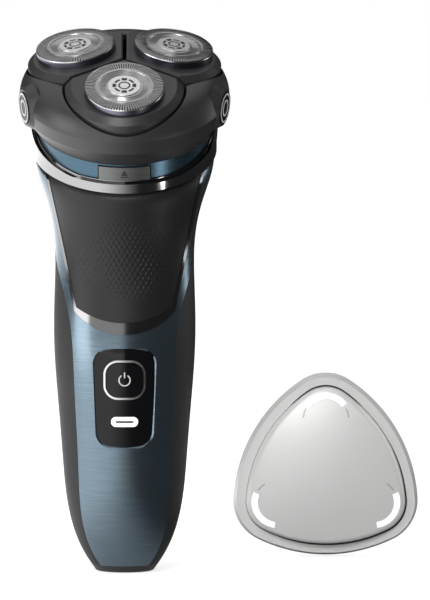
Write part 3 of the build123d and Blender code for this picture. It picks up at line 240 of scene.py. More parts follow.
def smooth(piece, angle=35):
    """Smooth shading with edges sharper than an angle left crisp."""
    deselect()
    piece.select_set(True)
    bpy.context.view_layer.objects.active = piece
    bpy.ops.object.shade_smooth_by_angle(angle=radians(angle))


def join(name, pieces):
    """Joins several new objects into one piece with its own name."""
    deselect()
    for piece in pieces:
        piece.select_set(True)
    bpy.context.view_layer.objects.active = pieces[0]
    if len(pieces) > 1:
        bpy.ops.object.join()
    whole = bpy.context.object
    whole.name = name
    return whole


def settle(piece, material, body, slot, *replaced):
    """Gives a finished piece its material and body, and hides what it stands for; the slot argument is not
    used.
    """
    piece.data.materials.clear()
    piece.data.materials.append(material)
    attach(piece, body)
    if replaced:
        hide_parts(*replaced)


def place(piece, matrix):
    """Moves a piece's own mesh, so that its object stays at the origin."""
    piece.data.transform(matrix)
    if matrix.determinant() < 0:
        piece.data.flip_normals()
    piece.data.update()


def lay_on(piece, direction, lift, *nodes):
    """Drops the points of a flat piece along a direction on to the first of some nodes they meet.

    The piece is drawn flat at the start of the drop; a point's distance behind that start plane is
    its height over the face.
    """
    bpy.context.view_layer.update()
    reach = 0.1
    for point in piece.data.vertices:
        height = -point.co.dot(direction)
        start = point.co + direction * (height - reach)
        for node in nodes:
            hit, where, _normal, _index = frame["nodes"][node].ray_cast(start, direction)
            if hit:
                break
        else:
            raise RuntimeError(f"{piece.name} misses {nodes}")
        point.co = where - direction * (height + lift)
    piece.data.update()


def guard_matrix(side):
    """Place of one guard: origin on its top, Z along its axis, X away from the middle of the head."""
    spin = JOINTS[f"cutter_spin_{side}"]
    up = Vector(spin["axis"]).normalized()
    outward = (up - HEAD_UP * up.dot(HEAD_UP)).normalized()
    out = (outward - up * outward.dot(up)).normalized()
    across = up.cross(out)
    matrix = Matrix((out, across, up)).transposed().to_4x4()
    matrix.translation = Vector(spin["pos_m"])
    return matrix


def badge_matrix(sign):
    """Place of one badge's face: Z outwards from the head, X up along the head axis."""
    turn = sizes().badge_turn
    outward = Vector((1, 0, 0)) * sign * cos(turn) - HEAD_BACK * sin(turn)
    up = HEAD_UP
    across = outward.cross(up)
    matrix = Matrix((up, across, outward)).transposed().to_4x4()
    matrix.translation = HEAD_TOP - HEAD_UP * sizes().badge_depth + outward * sizes().badge_reach
    return matrix


# Shared node groups

def group_sockets(group, inputs, outputs):
    """Names a node group's sockets: inputs with their kinds and defaults, outputs with their kinds."""
    for name, kind, value in inputs:
        socket = group.interface.new_socket(name, in_out="INPUT", socket_type=f"NodeSocket{kind}")
        socket.default_value = value
    for name, kind in outputs:
        group.interface.new_socket(name, in_out="OUTPUT", socket_type=f"NodeSocket{kind}")


def grain_group():
    """Moulded grain: a fine height and a slow change of gloss, on Object coordinates."""
    group = bpy.data.node_groups.new("moulded_grain", "ShaderNodeTree")
    group_sockets(
        group,
        [("Grain Size", "Float", 0.4), ("Gloss Low", "Float", 0.4), ("Gloss High", "Float", 0.5)],
        [("Height", "Float"), ("Roughness", "Float")],
    )
    nodes, links = group.nodes, group.links
    given = nodes.new("NodeGroupInput")
    result = nodes.new("NodeGroupOutput")
    where = nodes.new("ShaderNodeTexCoord")
    scale = nodes.new("ShaderNodeMath")
    scale.operation = "DIVIDE"
    scale.inputs[0].default_value = 1000.0
    grain = nodes.new("ShaderNodeTexNoise")
    grain.inputs["Detail"].default_value = 2.0
    cloud = nodes.new("ShaderNodeTexNoise")
    cloud.inputs["Scale"].default_value = 90.0
    cloud.inputs["Detail"].default_value = 4.0
    gloss = nodes.new("ShaderNodeMapRange")
    links.new(given.outputs["Grain Size"], scale.inputs[1])
    links.new(where.outputs["Object"], grain.inputs["Vector"])
    links.new(where.outputs["Object"], cloud.inputs["Vector"])
    links.new(scale.outputs[0], grain.inputs["Scale"])
    links.new(cloud.outputs["Fac"], gloss.inputs["Value"])
    links.new(given.outputs["Gloss Low"], gloss.inputs["To Min"])
    links.new(given.outputs["Gloss High"], gloss.inputs["To Max"])
    links.new(grain.outputs["Fac"], result.inputs["Height"])
    links.new(gloss.outputs["Result"], result.inputs["Roughness"])
    return group


def brushed_group():
    """Fine brushing across the handle: long thin streaks that vary height, gloss and shade."""
    group = bpy.data.node_groups.new("brushed_streaks", "ShaderNodeTree")
    group_sockets(
        group,
        [
            ("Streaks", "Float", 2600.0),
            ("Gloss Low", "Float", 0.25),
            ("Gloss High", "Float", 0.4),
            ("Dark", "Color", (0.4, 0.4, 0.4, 1)),
            ("Light", "Color", (0.6, 0.6, 0.6, 1)),
        ],
        [("Height", "Float"), ("Roughness", "Float"), ("Color", "Color")],
    )
    nodes, links = group.nodes, group.links
    given = nodes.new("NodeGroupInput")
    result = nodes.new("NodeGroupOutput")
    where = nodes.new("ShaderNodeTexCoord")
    stretch = nodes.new("ShaderNodeMapping")
    stretch.inputs["Scale"].default_value = (0.03, 0.03, 1.0)
    streak = nodes.new("ShaderNodeTexNoise")
    streak.inputs["Detail"].default_value = 3.0
    share = nodes.new("ShaderNodeMapRange")
    share.inputs["From Min"].default_value = 0.3
    share.inputs["From Max"].default_value = 0.7
    shade = nodes.new("ShaderNodeMix")
    shade.data_type = "RGBA"
    gloss = nodes.new("ShaderNodeMapRange")
    links.new(where.outputs["Object"], stretch.inputs["Vector"])
    links.new(stretch.outputs["Vector"], streak.inputs["Vector"])
    links.new(given.outputs["Streaks"], streak.inputs["Scale"])
    links.new(streak.outputs["Fac"], gloss.inputs["Value"])
    links.new(given.outputs["Gloss Low"], gloss.inputs["To Min"])
    links.new(given.outputs["Gloss High"], gloss.inputs["To Max"])
    links.new(streak.outputs["Fac"], result.inputs["Height"])
    links.new(streak.outputs["Fac"], share.inputs["Value"])
    links.new(share.outputs["Result"], shade.inputs["Factor"])
    links.new(given.outputs["Dark"], shade.inputs["A"])
    links.new(given.outputs["Light"], shade.inputs["B"])
    links.new(shade.outputs["Result"], result.inputs["Color"])
    links.new(gloss.outputs["Result"], result.inputs["Roughness"])
    return group


GROUPS = {}


def shared_group(name, make):
    """A node group, built the first time it is asked for."""
    if name not in GROUPS:
        GROUPS[name] = make()
    return GROUPS[name]


# Finishes

def new_finish(name, colour, metallic=0.0, roughness=0.5, **plain):
    """A material with a Principled shader and its plain values set on the shader's own sockets."""
    material = bpy.data.materials.new(name)
    material.use_nodes = True
    shader = material.node_tree.nodes["Principled BSDF"]
    shader.inputs["Base Color"].default_value = (*colour, 1.0)
    shader.inputs["Metallic"].default_value = metallic
    shader.inputs["Roughness"].default_value = roughness
    for key, value in plain.items():
        shader.inputs[key.replace("_", " ").title().replace("Ior", "IOR")].default_value = value
    return material, shader


def add_bump(material, shader, height, strength, distance):
    """Feeds a height into the shader's normal through a bump node."""
    bump = material.node_tree.nodes.new("ShaderNodeBump")
    bump.inputs["Strength"].default_value = strength
    bump.inputs["Distance"].default_value = distance
    material.node_tree.links.new(height, bump.inputs["Height"])
    material.node_tree.links.new(bump.outputs["Normal"], shader.inputs["Normal"])


def moulded(name, colour, size, low, high, depth=0.02 * MM, strength=0.3, **plain):
    """Moulded plastic or rubber: plain colour with a fine grain and an uneven gloss."""
    material, shader = new_finish(name, colour, **plain)
    tree = material.node_tree
    grain = tree.nodes.new("ShaderNodeGroup")
    grain.node_tree = shared_group("grain", grain_group)
    grain.inputs["Grain Size"].default_value = size
    grain.inputs["Gloss Low"].default_value = low
    grain.inputs["Gloss High"].default_value = high
    tree.links.new(grain.outputs["Roughness"], shader.inputs["Roughness"])
    add_bump(material, shader, grain.outputs["Height"], strength, depth)
    return material


def brushed(name, colour, streaks, low, high, contrast, depth, **plain):
    """Brushed metal or metallic paint with streaks across it."""
    material, shader = new_finish(name, colour, **plain)
    tree = material.node_tree
    group = tree.nodes.new("ShaderNodeGroup")
    group.node_tree = shared_group("brushed", brushed_group)
    group.inputs["Streaks"].default_value = streaks
    group.inputs["Gloss Low"].default_value = low
    group.inputs["Gloss High"].default_value = high
    group.inputs["Dark"].default_value = (*[part * (1 - contrast) for part in colour], 1)
    group.inputs["Light"].default_value = (*[part * (1 + contrast) for part in colour], 1)
    tree.links.new(group.outputs["Color"], shader.inputs["Base Color"])
    tree.links.new(group.outputs["Roughness"], shader.inputs["Roughness"])
    add_bump(material, shader, group.outputs["Height"], 0.2, depth)
    return material


def glowing(name, colour, strength):
    """The status light: a white window that glows by itself."""
    material, shader = new_finish(name, colour, roughness=0.3)
    shader.inputs["Emission Color"].default_value = (*colour, 1)
    shader.inputs["Emission Strength"].default_value = strength
    return material


FINISHES = {}


def make_finishes():
    """Every finish of the shaver, by name."""
    c = colours()
    FINISHES.update(
        blue_shell=brushed(
            "brushed_blue", tuple(c.blue), 3000.0, 0.20, 0.30, 0.10, 0.004 * MM, metallic=0.85),
        # Painted shade: a darker copy of the blue shell for the collar, which lies in shadow under the head
        collar_blue=brushed(
            "collar_blue", tuple(c.collar), 3000.0, 0.24, 0.32, 0.08, 0.004 * MM, metallic=0.85),
        # Painted shade: the trim is the ring's black chrome, darkened to dim the key lamp's reflection on
        # it
        trim_chrome=moulded(
            "trim_chrome", (0.20, 0.198, 0.20), 1.0, 0.12, 0.18, 0.001 * MM, 0.05, metallic=1.0),
        # Painted shadow: near black for the strip at the foot of the cap's dome
        cap_seam=moulded("cap_seam", (0.035, 0.034, 0.033), 0.3, 0.5, 0.6),
        # Painted shade: a grey for the shade in the shallow pressed grooves beside the cap's slots
        cap_rib=moulded("cap_rib", (0.55, 0.55, 0.54), 0.3, 0.4, 0.5),
        grey_grip=moulded(
            "textured_grip", tuple(c.grip), 0.5, 0.5, 0.62, 0.06 * MM, 0.7, specular_ior_level=0.3),
        soft_black=moulded(
            "soft_touch", tuple(c.soft_black), 0.12, 0.42, 0.5, 0.01 * MM, 0.25, specular_ior_level=0.3),
        head_black=moulded("head_satin", tuple(c.head_black), 0.12, 0.36, 0.44, 0.01 * MM, 0.25),
        gloss_black=moulded(
            "polished_black", tuple(c.gloss_black), 1.0, 0.05, 0.09, 0.001 * MM, 0.05,
            specular_ior_level=0.2),
        dark_chrome=moulded(
            "black_chrome", tuple(c.chrome), 1.0, 0.06, 0.12, 0.001 * MM, 0.05, metallic=1.0),
        guard_steel=brushed(
            "ground_steel", tuple(c.steel), 1800.0, 0.2, 0.34, 0.08, 0.004 * MM, metallic=1.0),
        guard_side=moulded(
            "guard_side", (0.16, 0.15, 0.19), 0.5, 0.25, 0.35, 0.004 * MM, 0.2, metallic=1.0),
        steel=brushed("plain_steel", (0.55, 0.55, 0.56), 1500.0, 0.25, 0.4, 0.06, 0.004 * MM, metallic=1.0),
        satin_grey=brushed(
            "satin_metal_grey", (0.14, 0.142, 0.143), 2600.0, 0.3, 0.4, 0.06, 0.003 * MM, metallic=0.8),
        dark_base=moulded("base_black", (0.02, 0.02, 0.021), 0.3, 0.45, 0.55),
        inner_grey=moulded("inner_grey", (0.10, 0.10, 0.11), 0.3, 0.45, 0.6),
        inner_black=moulded("inner_black", (0.02, 0.02, 0.02), 0.3, 0.45, 0.6),
        gear_white=moulded("gear_white", (0.62, 0.62, 0.58), 0.3, 0.35, 0.5),
        brass=brushed(
            "turned_brass", (0.60, 0.40, 0.16), 1500.0, 0.2, 0.35, 0.06, 0.004 * MM, metallic=1.0),
        seal_rubber=moulded("seal_rubber", (0.015, 0.015, 0.015), 0.3, 0.5, 0.65),
        badge_black=moulded(
            "badge_black", (0.008, 0.008, 0.009), 1.0, 0.3, 0.4, 0.001 * MM, 0.05, specular_ior_level=0.15),
        disc_steel=brushed(
            "disc_steel", (0.74, 0.735, 0.73), 1800.0, 0.3, 0.4, 0.05, 0.003 * MM, metallic=1.0),
        # Painted shade: the cutters are bright steel, darkened so that the guard slots show the shade
        # inside the head
        cutter_steel=brushed(
            "cutter_steel", (0.10, 0.10, 0.10), 1500.0, 0.35, 0.5, 0.06, 0.003 * MM, metallic=1.0),
        pale_print=moulded("pale_print", (0.72, 0.72, 0.71), 0.3, 0.35, 0.5),
        dark_print=moulded("dark_print", (0.012, 0.012, 0.013), 0.3, 0.4, 0.55),
        cap_silver=moulded("cap_silver", tuple(c.cap), 0.25, 0.36, 0.44, 0.004 * MM, 0.2, metallic=0.2),
        battery_sleeve=moulded("battery_sleeve", (0.02, 0.10, 0.06), 0.5, 0.2, 0.3),
        board=moulded("board_green", (0.01, 0.08, 0.03), 0.5, 0.25, 0.4),
        light=glowing("light_window", (0.95, 0.97, 1.0), 1.1),
    )


# The collar takes the painted shade copy of the blue shell
# The grip trim takes the darkened copy of the black chrome
OWN_FINISH = {"drive_deck": "collar_blue", "grip_trim": "trim_chrome"}
for head in SIDES:
    OWN_FINISH[f"guard_disc_{head}"] = "disc_steel"
    # The cutters take the darkened steel, painted shade seen through the slots
    OWN_FINISH[f"cutter_{head}"] = "cutter_steel"


class SHAVER_OT_finishes(bpy.types.Operator):
    """Give every node of the frame its finish"""

    bl_idname = "shaver.finishes"
    bl_label = "Finish the frame"

    def execute(self, context):
        make_finishes()
        for part in frame["record"]["subparts"]:
            node = frame["nodes"][part["node"]]
            for index in range(len(node.material_slots)):
                finish = OWN_FINISH.get(part["node"], part["material_slot"])
                node.material_slots[index].material = FINISHES[finish]
            if not node.material_slots:
                raise RuntimeError(f"{part['node']} has no material slot")
        return {"FINISHED"}


# Guards

def guard_profile():
    """(radius, height) points of a guard's skin in mm, from the top of its side wall to the disc."""
    outline = [(11.4, -0.55), (11.32, -0.26), (11.12, -0.07), (10.85, 0.0)]
    outline += [(8.55, 0.0), (8.3, -0.03), (8.15, -0.1), (7.95, -0.1)]
    outline += [(7.85, 0.02), (7.45, 0.02), (7.35, -0.12)]
    radius = 7.1
    while radius > 5.1:
        outline += [(radius, -0.10), (radius - 0.16, -0.20), (radius - 0.30, -0.20)]
        radius -= 0.42
    outline += [(4.95, -0.12), (4.72, -0.12), (4.68, -0.45)]
    return [(radius * MM, height * MM) for radius, height in outline]


def slotted_guard(name):
    """One guard with its radial hair slots cut through the outer track."""
    slots = sizes().guard_slots
    piece = turned_piece(name, 2 * slots, guard_profile())
    step = pi / slots

    def in_slot(middle):
        radius = hypot(middle.x, middle.y)
        turn = int((atan2(middle.y, middle.x) + 2 * pi) / step)
        return 8.4 * MM < radius < 11.35 * MM and middle.z > -0.5 * MM and turn % 2 == 0

    delete_faces(piece, in_slot)
    tidy_normals(piece)
    apply_modifier(piece, "SOLIDIFY", thickness=0.25 * MM, offset=-1.0)
    smooth(piece, 30)
    return piece


def guard_wall(name):
    """The dark side wall that a guard's slotted top stands on."""
    outer = sizes().guard_radius
    inner = outer - 0.4 * MM
    top, foot = -sizes().guard_wall_top, -3.6 * MM
    profile = [(outer, foot), (outer, top), (inner, top), (inner, foot), (outer, foot)]
    piece = turned_piece(name, 2 * sizes().guard_slots, profile)
    bpy.ops.object.mode_set(mode="OBJECT")
    tidy_normals(piece)
    smooth(piece, 30)
    return piece


class SHAVER_OT_guards(bpy.types.Operator):
    """Model the three slotted guards"""

    bl_idname = "shaver.guards"
    bl_label = "Slotted guards"

    def execute(self, context):
        for side in SIDES:
            piece = slotted_guard(f"slotted_guard_{side}")
            place(piece, guard_matrix(side))
            settle(piece, FINISHES["guard_steel"], f"seat_{side}", "guard_steel", f"guard_{side}")
            wall = guard_wall(f"guard_wall_{side}")
            place(wall, guard_matrix(side))
            settle(wall, FINISHES["guard_side"], f"seat_{side}", "guard_steel")
        return {"FINISHED"}


def flat_ring(name, inner, outer, thickness, keep=None, segments=96):
    """A thin flat ring; keep is a test on the angle in degrees of the faces to leave."""
    piece = turned_piece(name, segments, [(outer, 0), (inner, 0)])
    if keep:
        delete_faces(piece, lambda middle: not keep(degrees(atan2(middle.y, middle.x))))
    tidy_normals(piece)
    apply_modifier(piece, "SOLIDIFY", thickness=thickness, offset=0.0)
    tidy_normals(piece)
    return piece


def flat_bar(name, x, y, width, height, thickness):
    """A thin rectangle with its middle at (x, y)."""
    deselect()
    bpy.ops.mesh.primitive_cube_add(size=1, location=(x, y, 0))
    piece = bpy.context.object
    piece.name = name
    piece.scale = (width, height, thickness)
    bpy.ops.object.transform_apply(location=True, rotation=True, scale=True)
    return piece


def quarter_angle(angle, offset):
    """Angle in degrees from the nearest of four directions, the first at an offset."""
    return abs((angle - offset + 45) % 90 - 45)


class SHAVER_OT_disc_marks(bpy.types.Operator):
    """Model the pressed marks on the guard discs"""

    bl_idname = "shaver.disc_marks"
    bl_label = "Disc marks"

    def execute(self, context):
        lift = 0.17 * MM
        for side in SIDES:
            thin = 0.04 * MM
            dashes = flat_ring(
                "dashes", 2.35 * MM, 3.4 * MM, thin, lambda angle: quarter_angle(angle, 0) < 14)
            arcs = flat_ring(
                "arcs", 2.6 * MM, 3.2 * MM, thin, lambda angle: quarter_angle(angle, 45) < 20)
            middle = flat_ring("middle", 1.3 * MM, 1.72 * MM, thin)
            piece = join(f"disc_marks_{side}", [dashes, arcs, middle])
            place(piece, guard_matrix(side) @ Matrix.Translation((0, 0, lift)))
            settle(piece, FINISHES["dark_print"], f"seat_{side}", "head_black")
        return {"FINISHED"}


# Front of the handle

FRONT = Vector((0, 1, 0))


def stand_up(piece, height):
    """Turns a flat piece to face the front and lifts it to a height."""
    place(piece, Matrix.Translation((0, 0, height)) @ Matrix.Rotation(radians(90), 4, "X"))


class SHAVER_OT_power_symbol(bpy.types.Operator):
    """Model the printed power symbol on the button"""

    bl_idname = "shaver.power_symbol"
    bl_label = "Power symbol"

    def execute(self, context):
        thin = 0.04 * MM
        ring = flat_ring(
            "ring", 1.42 * MM, 1.76 * MM, thin, lambda angle: abs(angle - 90) > 32)
        bar = flat_bar("bar", 0, 1.45 * MM, 0.34 * MM, 1.7 * MM, thin)
        piece = join("power_symbol", [ring, bar])
        stand_up(piece, sizes().power_height)
        lay_on(piece, FRONT, 0.03 * MM, "power_button")
        settle(piece, FINISHES["pale_print"], "power_button", "light")
        return {"FINISHED"}


class SHAVER_OT_light_slit(bpy.types.Operator):
    """Model the dark slit in the status light"""

    bl_idname = "shaver.light_slit"
    bl_label = "Light slit"

    def execute(self, context):
        piece = flat_bar("light_slit", 0, 0, 5.2 * MM, 0.6 * MM, 0.04 * MM)
        bpy.ops.object.mode_set(mode="EDIT")
        bpy.ops.mesh.select_all(action="SELECT")
        bpy.ops.mesh.subdivide(number_cuts=9)
        bpy.ops.object.mode_set(mode="OBJECT")
        stand_up(piece, sizes().light_height)
        lay_on(piece, FRONT, 0.03 * MM, "status_light")
        settle(piece, FINISHES["dark_print"], "handle", "gloss_black")
        return {"FINISHED"}


LATTICE_MIDDLE = 91.5 * MM
LATTICE_HALF_WIDTH = 15.5 * MM
LATTICE_HALF_HEIGHT = 12.5 * MM
LATTICE_COLUMNS = 25
LATTICE_ROWS = 11


def lattice_fade(x, z):
    """How strongly a point of the embossed field stands out: full in the middle, none at its edge."""
    away = hypot(x / LATTICE_HALF_WIDTH, (z - LATTICE_MIDDLE) / LATTICE_HALF_HEIGHT)
    return max(0.0, 1.0 - away) ** 0.35 if away < 1 else 0.0


class SHAVER_OT_lattice(bpy.types.Operator):
    """Model the embossed field of small points on the front panel"""

    bl_idname = "shaver.lattice"
    bl_label = "Embossed field"

    def execute(self, context):
        pitch = sizes().lattice_pitch
        rise = sizes().lattice_rise
        row = pitch * 0.87
        fields = []
        for shift_x, shift_y in ((0, 0), (0.5, 1)):
            deselect()
            bpy.ops.mesh.primitive_cone_add(
                vertices=3, radius1=0.52 * pitch, depth=rise, location=(0, 0, rise / 2))
            field = bpy.context.object
            bpy.ops.object.transform_apply(location=True, rotation=True, scale=True)
            apply_modifier(
                field, "ARRAY", count=LATTICE_COLUMNS, use_relative_offset=False, use_constant_offset=True,
                constant_offset_displace=(pitch, 0, 0))
            apply_modifier(
                field, "ARRAY", count=LATTICE_ROWS, use_relative_offset=False, use_constant_offset=True,
                constant_offset_displace=(0, 2 * row, 0))
            middle_x = (LATTICE_COLUMNS - 1) / 2 + 0.25
            middle_y = LATTICE_ROWS - 0.5
            place(field, Matrix.Translation(((shift_x - middle_x) * pitch, (shift_y - middle_y) * row, 0)))
            fields.append(field)
        piece = join("embossed_field", fields)
        stand_up(piece, LATTICE_MIDDLE)
        bpy.ops.object.mode_set(mode="EDIT")
        delete_faces(piece, lambda middle: lattice_fade(middle.x, middle.z) < 0.12)
        for point in piece.data.vertices:
            point.co.y *= lattice_fade(point.co.x, point.co.z)
        lay_on(piece, FRONT, -0.01 * MM, "grip_panel")
        settle(piece, FINISHES["soft_black"], "handle", "soft_black")
        return {"FINISHED"}


def panel_outline(name, grow):
    """A flat rounded outline of the control panel, made wider all round by an amount, in edit mode."""
    deselect()
    bpy.ops.mesh.primitive_plane_add(size=2)
    piece = bpy.context.object
    piece.name = name
    half = 14.4 * MM
    for point in piece.data.vertices:
        side = 1 if point.co.x > 0 else -1
        top = point.co.y > 0
        point.co.x = side * ((9.3 if top else 8.2) * MM + grow)
        point.co.y = (half + grow) * (1 if top else -1)
    bpy.ops.object.mode_set(mode="EDIT")
    bpy.ops.mesh.select_all(action="SELECT")
    bpy.ops.mesh.bevel(offset=4.6 * MM + grow, segments=10, affect="VERTICES", clamp_overlap=False)
    return piece


class SHAVER_OT_panel_edge(bpy.types.Operator):
    """Model the sloping blue edge round the sunk control panel"""

    bl_idname = "shaver.panel_edge"
    bl_label = "Control panel edge"

    def execute(self, context):
        piece = panel_outline("control_edge", 0.07 * MM)
        crest = 0.3 * MM
        bpy.ops.mesh.inset(thickness=0.2 * MM)
        bpy.ops.transform.translate(value=(0, 0, crest))
        bpy.ops.mesh.inset(thickness=0.32 * MM)
        bpy.ops.transform.translate(value=(0, 0, -crest))
        bpy.ops.mesh.delete(type="FACE")
        bpy.ops.object.mode_set(mode="OBJECT")
        stand_up(piece, 51.3 * MM)
        lay_on(piece, FRONT, 0.01 * MM, "control_panel", "front_shell")
        tidy_normals(piece)
        smooth(piece, 60)
        settle(piece, FINISHES["blue_shell"], "handle", "blue_shell")
        return {"FINISHED"}


class SHAVER_OT_eject_symbol(bpy.types.Operator):
    """Model the printed release symbol: a triangle over a bar"""

    bl_idname = "shaver.eject_symbol"
    bl_label = "Release symbol"

    def execute(self, context):
        thin = 0.04 * MM
        deselect()
        bpy.ops.mesh.primitive_cylinder_add(
            vertices=3, radius=1.15 * MM, depth=thin, location=(0, 0.16 * MM, 0))
        triangle = bpy.context.object
        bpy.ops.object.transform_apply(location=True, rotation=True, scale=True)
        bar = flat_bar("bar", 0, -0.92 * MM, 2.1 * MM, 0.32 * MM, thin)
        piece = join("release_symbol", [triangle, bar])
        turn = Matrix((Vector((1, 0, 0)), HEAD_UP, -HEAD_BACK)).transposed().to_4x4()
        turn.translation = HEAD_UP * (HEAD_TOP.dot(HEAD_UP) - 23.9 * MM)
        place(piece, turn)
        lay_on(piece, HEAD_BACK, 0.03 * MM, "release_button")
        settle(piece, FINISHES["dark_print"], "release_button", "head_black")
        return {"FINISHED"}


class SHAVER_OT_badge_rings(bpy.types.Operator):
    """Model the pale rings on the two side badges"""

    bl_idname = "shaver.badge_rings"
    bl_label = "Badge rings"

    def execute(self, context):
        thin = 0.05 * MM
        reach = sizes().badge_radius
        for name, sign in (("right", 1), ("left", -1)):
            outer = flat_ring("outer", 0.80 * reach, 0.92 * reach, thin)
            inner = flat_ring("inner", 0.40 * reach, 0.52 * reach, thin)
            piece = join(f"badge_ring_{name}", [outer, inner])
            place(piece, badge_matrix(sign) @ Matrix.Translation((0, 0, 0.03 * MM)))
            settle(piece, FINISHES["pale_print"], "shaving_unit", "light")
        return {"FINISHED"}


# Protection cap

CAP_PLACE = Matrix(((1, 0, 0, 58.5 * MM), (0, 0, -1, 40.0 * MM), (0, 1, 0, 24.3 * MM), (0, 0, 0, 1)))
CAP_CORNERS = (90, 210, 330)
UPPER_ENDS = {90: (-1, 1), 210: (-1,), 330: (1,)}


def cap_radius(turn, inset):
    """Distance from the cap's middle to its rounded triangle, drawn in by an inset, in one direction."""
    size = sizes()
    from_corner = abs((degrees(turn) - 90 + 60) % 120 - 60)
    away = size.cap_corner_circle
    corner = size.cap_corner_radius - inset
    side = size.cap_side_radius - inset
    reach = size.cap_side_radius - size.cap_corner_radius
    back = (reach**2 - (away * sin(radians(60))) ** 2) ** 0.5 - away * cos(radians(60))
    swing = radians(60) - atan2(away * sin(radians(60)), back + away * cos(radians(60)))
    meeting = degrees(atan2(corner * sin(swing), away + corner * cos(swing)))
    if from_corner < meeting:
        turn = radians(from_corner)
        return away * cos(turn) + (corner**2 - (away * sin(turn)) ** 2) ** 0.5
    turn = radians(60 - from_corner)
    return (side**2 - (back * sin(turn)) ** 2) ** 0.5 - back * cos(turn)


def seam_width(turn):
    """Width of the painted shadow strip at the dome's foot: widest at the lower right and over the top
    slot, a hair elsewhere.
    """
    lower_right = max(0.0, cos(turn + radians(60))) ** 0.7
    over_slot = max(0.0, cos(turn - radians(90)) - cos(radians(28))) / (1 - cos(radians(28)))
    return (0.10 + 0.46 * lower_right + 0.40 * over_slot**0.5) * MM


class SHAVER_OT_cap_details(bpy.types.Operator):
    """Model the painted shadow strip round the foot of the cap's dome, its smooth crown and the painted
    groove shade beside its slots
    """

    bl_idname = "shaver.cap_details"
    bl_label = "Cap details"

    def execute(self, context):
        size = sizes()
        # Painted shadow: a thin near-black strip round the dome's foot, widest at the lower right and over
        # the top slot, stands in for the shade in the step between rim and dome
        seam = turned_piece("cap_seam", 240, [(2 * MM, 0), (1 * MM, 0)])
        bpy.ops.object.mode_set(mode="OBJECT")
        for point in seam.data.vertices:
            turn = atan2(point.co.y, point.co.x)
            outer = hypot(point.co.x, point.co.y) > 1.5 * MM
            inset = size.cap_dome_inset - (seam_width(turn) if outer else 0.0)
            reach = cap_radius(turn, inset)
            point.co = (reach * cos(turn), reach * sin(turn), size.cap_rim_depth)
        tidy_normals(seam)
        apply_modifier(seam, "SOLIDIFY", thickness=0.05 * MM, offset=0.0)
        place(seam, CAP_PLACE)
        settle(seam, FINISHES["cap_seam"], "cap", "cap_silver")

        # The dome's own mesh is shaded unevenly at its pole, so a thin smooth crown covers it
        steps = 8
        rings = [(size.cap_crown_radius * (steps - step) / steps, 0) for step in range(steps + 1)]
        crown = turned_piece("cap_crown", 64, rings)
        tidy_normals(crown)
        apply_modifier(crown, "SOLIDIFY", thickness=0.02 * MM, offset=0.0)
        tidy_normals(crown)
        place(crown, CAP_PLACE)
        place(crown, Matrix.Translation((0, -CAP_PLACE.translation.y, 0)))
        lay_on(crown, FRONT, 0.015 * MM, "protection_cap")
        smooth(crown, 40)
        settle(crown, FINISHES["cap_silver"], "cap", "cap_silver")

        # Painted shade: flat grey strips laid beside the slots stand in for the shade in shallow pressed
        # grooves, which are not cut
        ribs = []
        for corner in CAP_CORNERS:
            for end in UPPER_ENDS[corner]:
                first, last = sorted((end * 64, end * 88))
                rib = flat_ring(
                    "rib", size.cap_slot_radius - 0.2 * MM, size.cap_slot_radius + 0.2 * MM, 0.05 * MM,
                    lambda angle: first < (angle - corner + 180) % 360 - 180 < last, 120)
                middle = Vector((cos(radians(corner)), sin(radians(corner)), 0)) * size.cap_corner_circle
                place(rib, CAP_PLACE @ Matrix.Translation(middle))
                place(rib, Matrix.Translation((0, -CAP_PLACE.translation.y, 0)))
                ribs.append(rib)
        piece = join("cap_ribs", ribs)
        lay_on(piece, FRONT, 0.01 * MM, "protection_cap")
        settle(piece, FINISHES["cap_rib"], "cap", "cap_silver")
        return {"FINISHED"}


# Studio

def soft_lamp(name, place_at, aim_at, width, height, power, spread=180):
    """A large softbox aimed at a point, its light held to a spread in degrees."""
    deselect()
    bpy.ops.object.light_add(type="AREA", location=place_at)
    lamp = bpy.context.object
    lamp.name = name
    lamp.data.shape = "RECTANGLE"
    lamp.data.size = width
    lamp.data.size_y = height
    lamp.data.energy = power
    lamp.data.spread = radians(spread)
    aim = Vector(aim_at) - Vector(place_at)
    lamp.rotation_euler = aim.to_track_quat("-Z", "Y").to_euler()
    return lamp


def white_world(ambient, mirrored):
    """A world that looks white to the camera, lights the shaver dimly and shows dark in reflections."""
    world = bpy.data.worlds.new("studio_world")
    world.use_nodes = True
    nodes, links = world.node_tree.nodes, world.node_tree.links
    shade = nodes["Background"]
    path = nodes.new("ShaderNodeLightPath")
    other = nodes.new("ShaderNodeMapRange")
    other.inputs["To Min"].default_value = ambient
    other.inputs["To Max"].default_value = mirrored
    level = nodes.new("ShaderNodeMapRange")
    level.inputs["To Max"].default_value = 1.0
    links.new(path.outputs["Is Glossy Ray"], other.inputs["Value"])
    links.new(other.outputs["Result"], level.inputs["To Min"])
    links.new(path.outputs["Is Camera Ray"], level.inputs["Value"])
    links.new(level.outputs["Result"], shade.inputs["Strength"])
    shade.inputs["Color"].default_value = (1, 1, 1, 1)
    bpy.context.scene.world = world


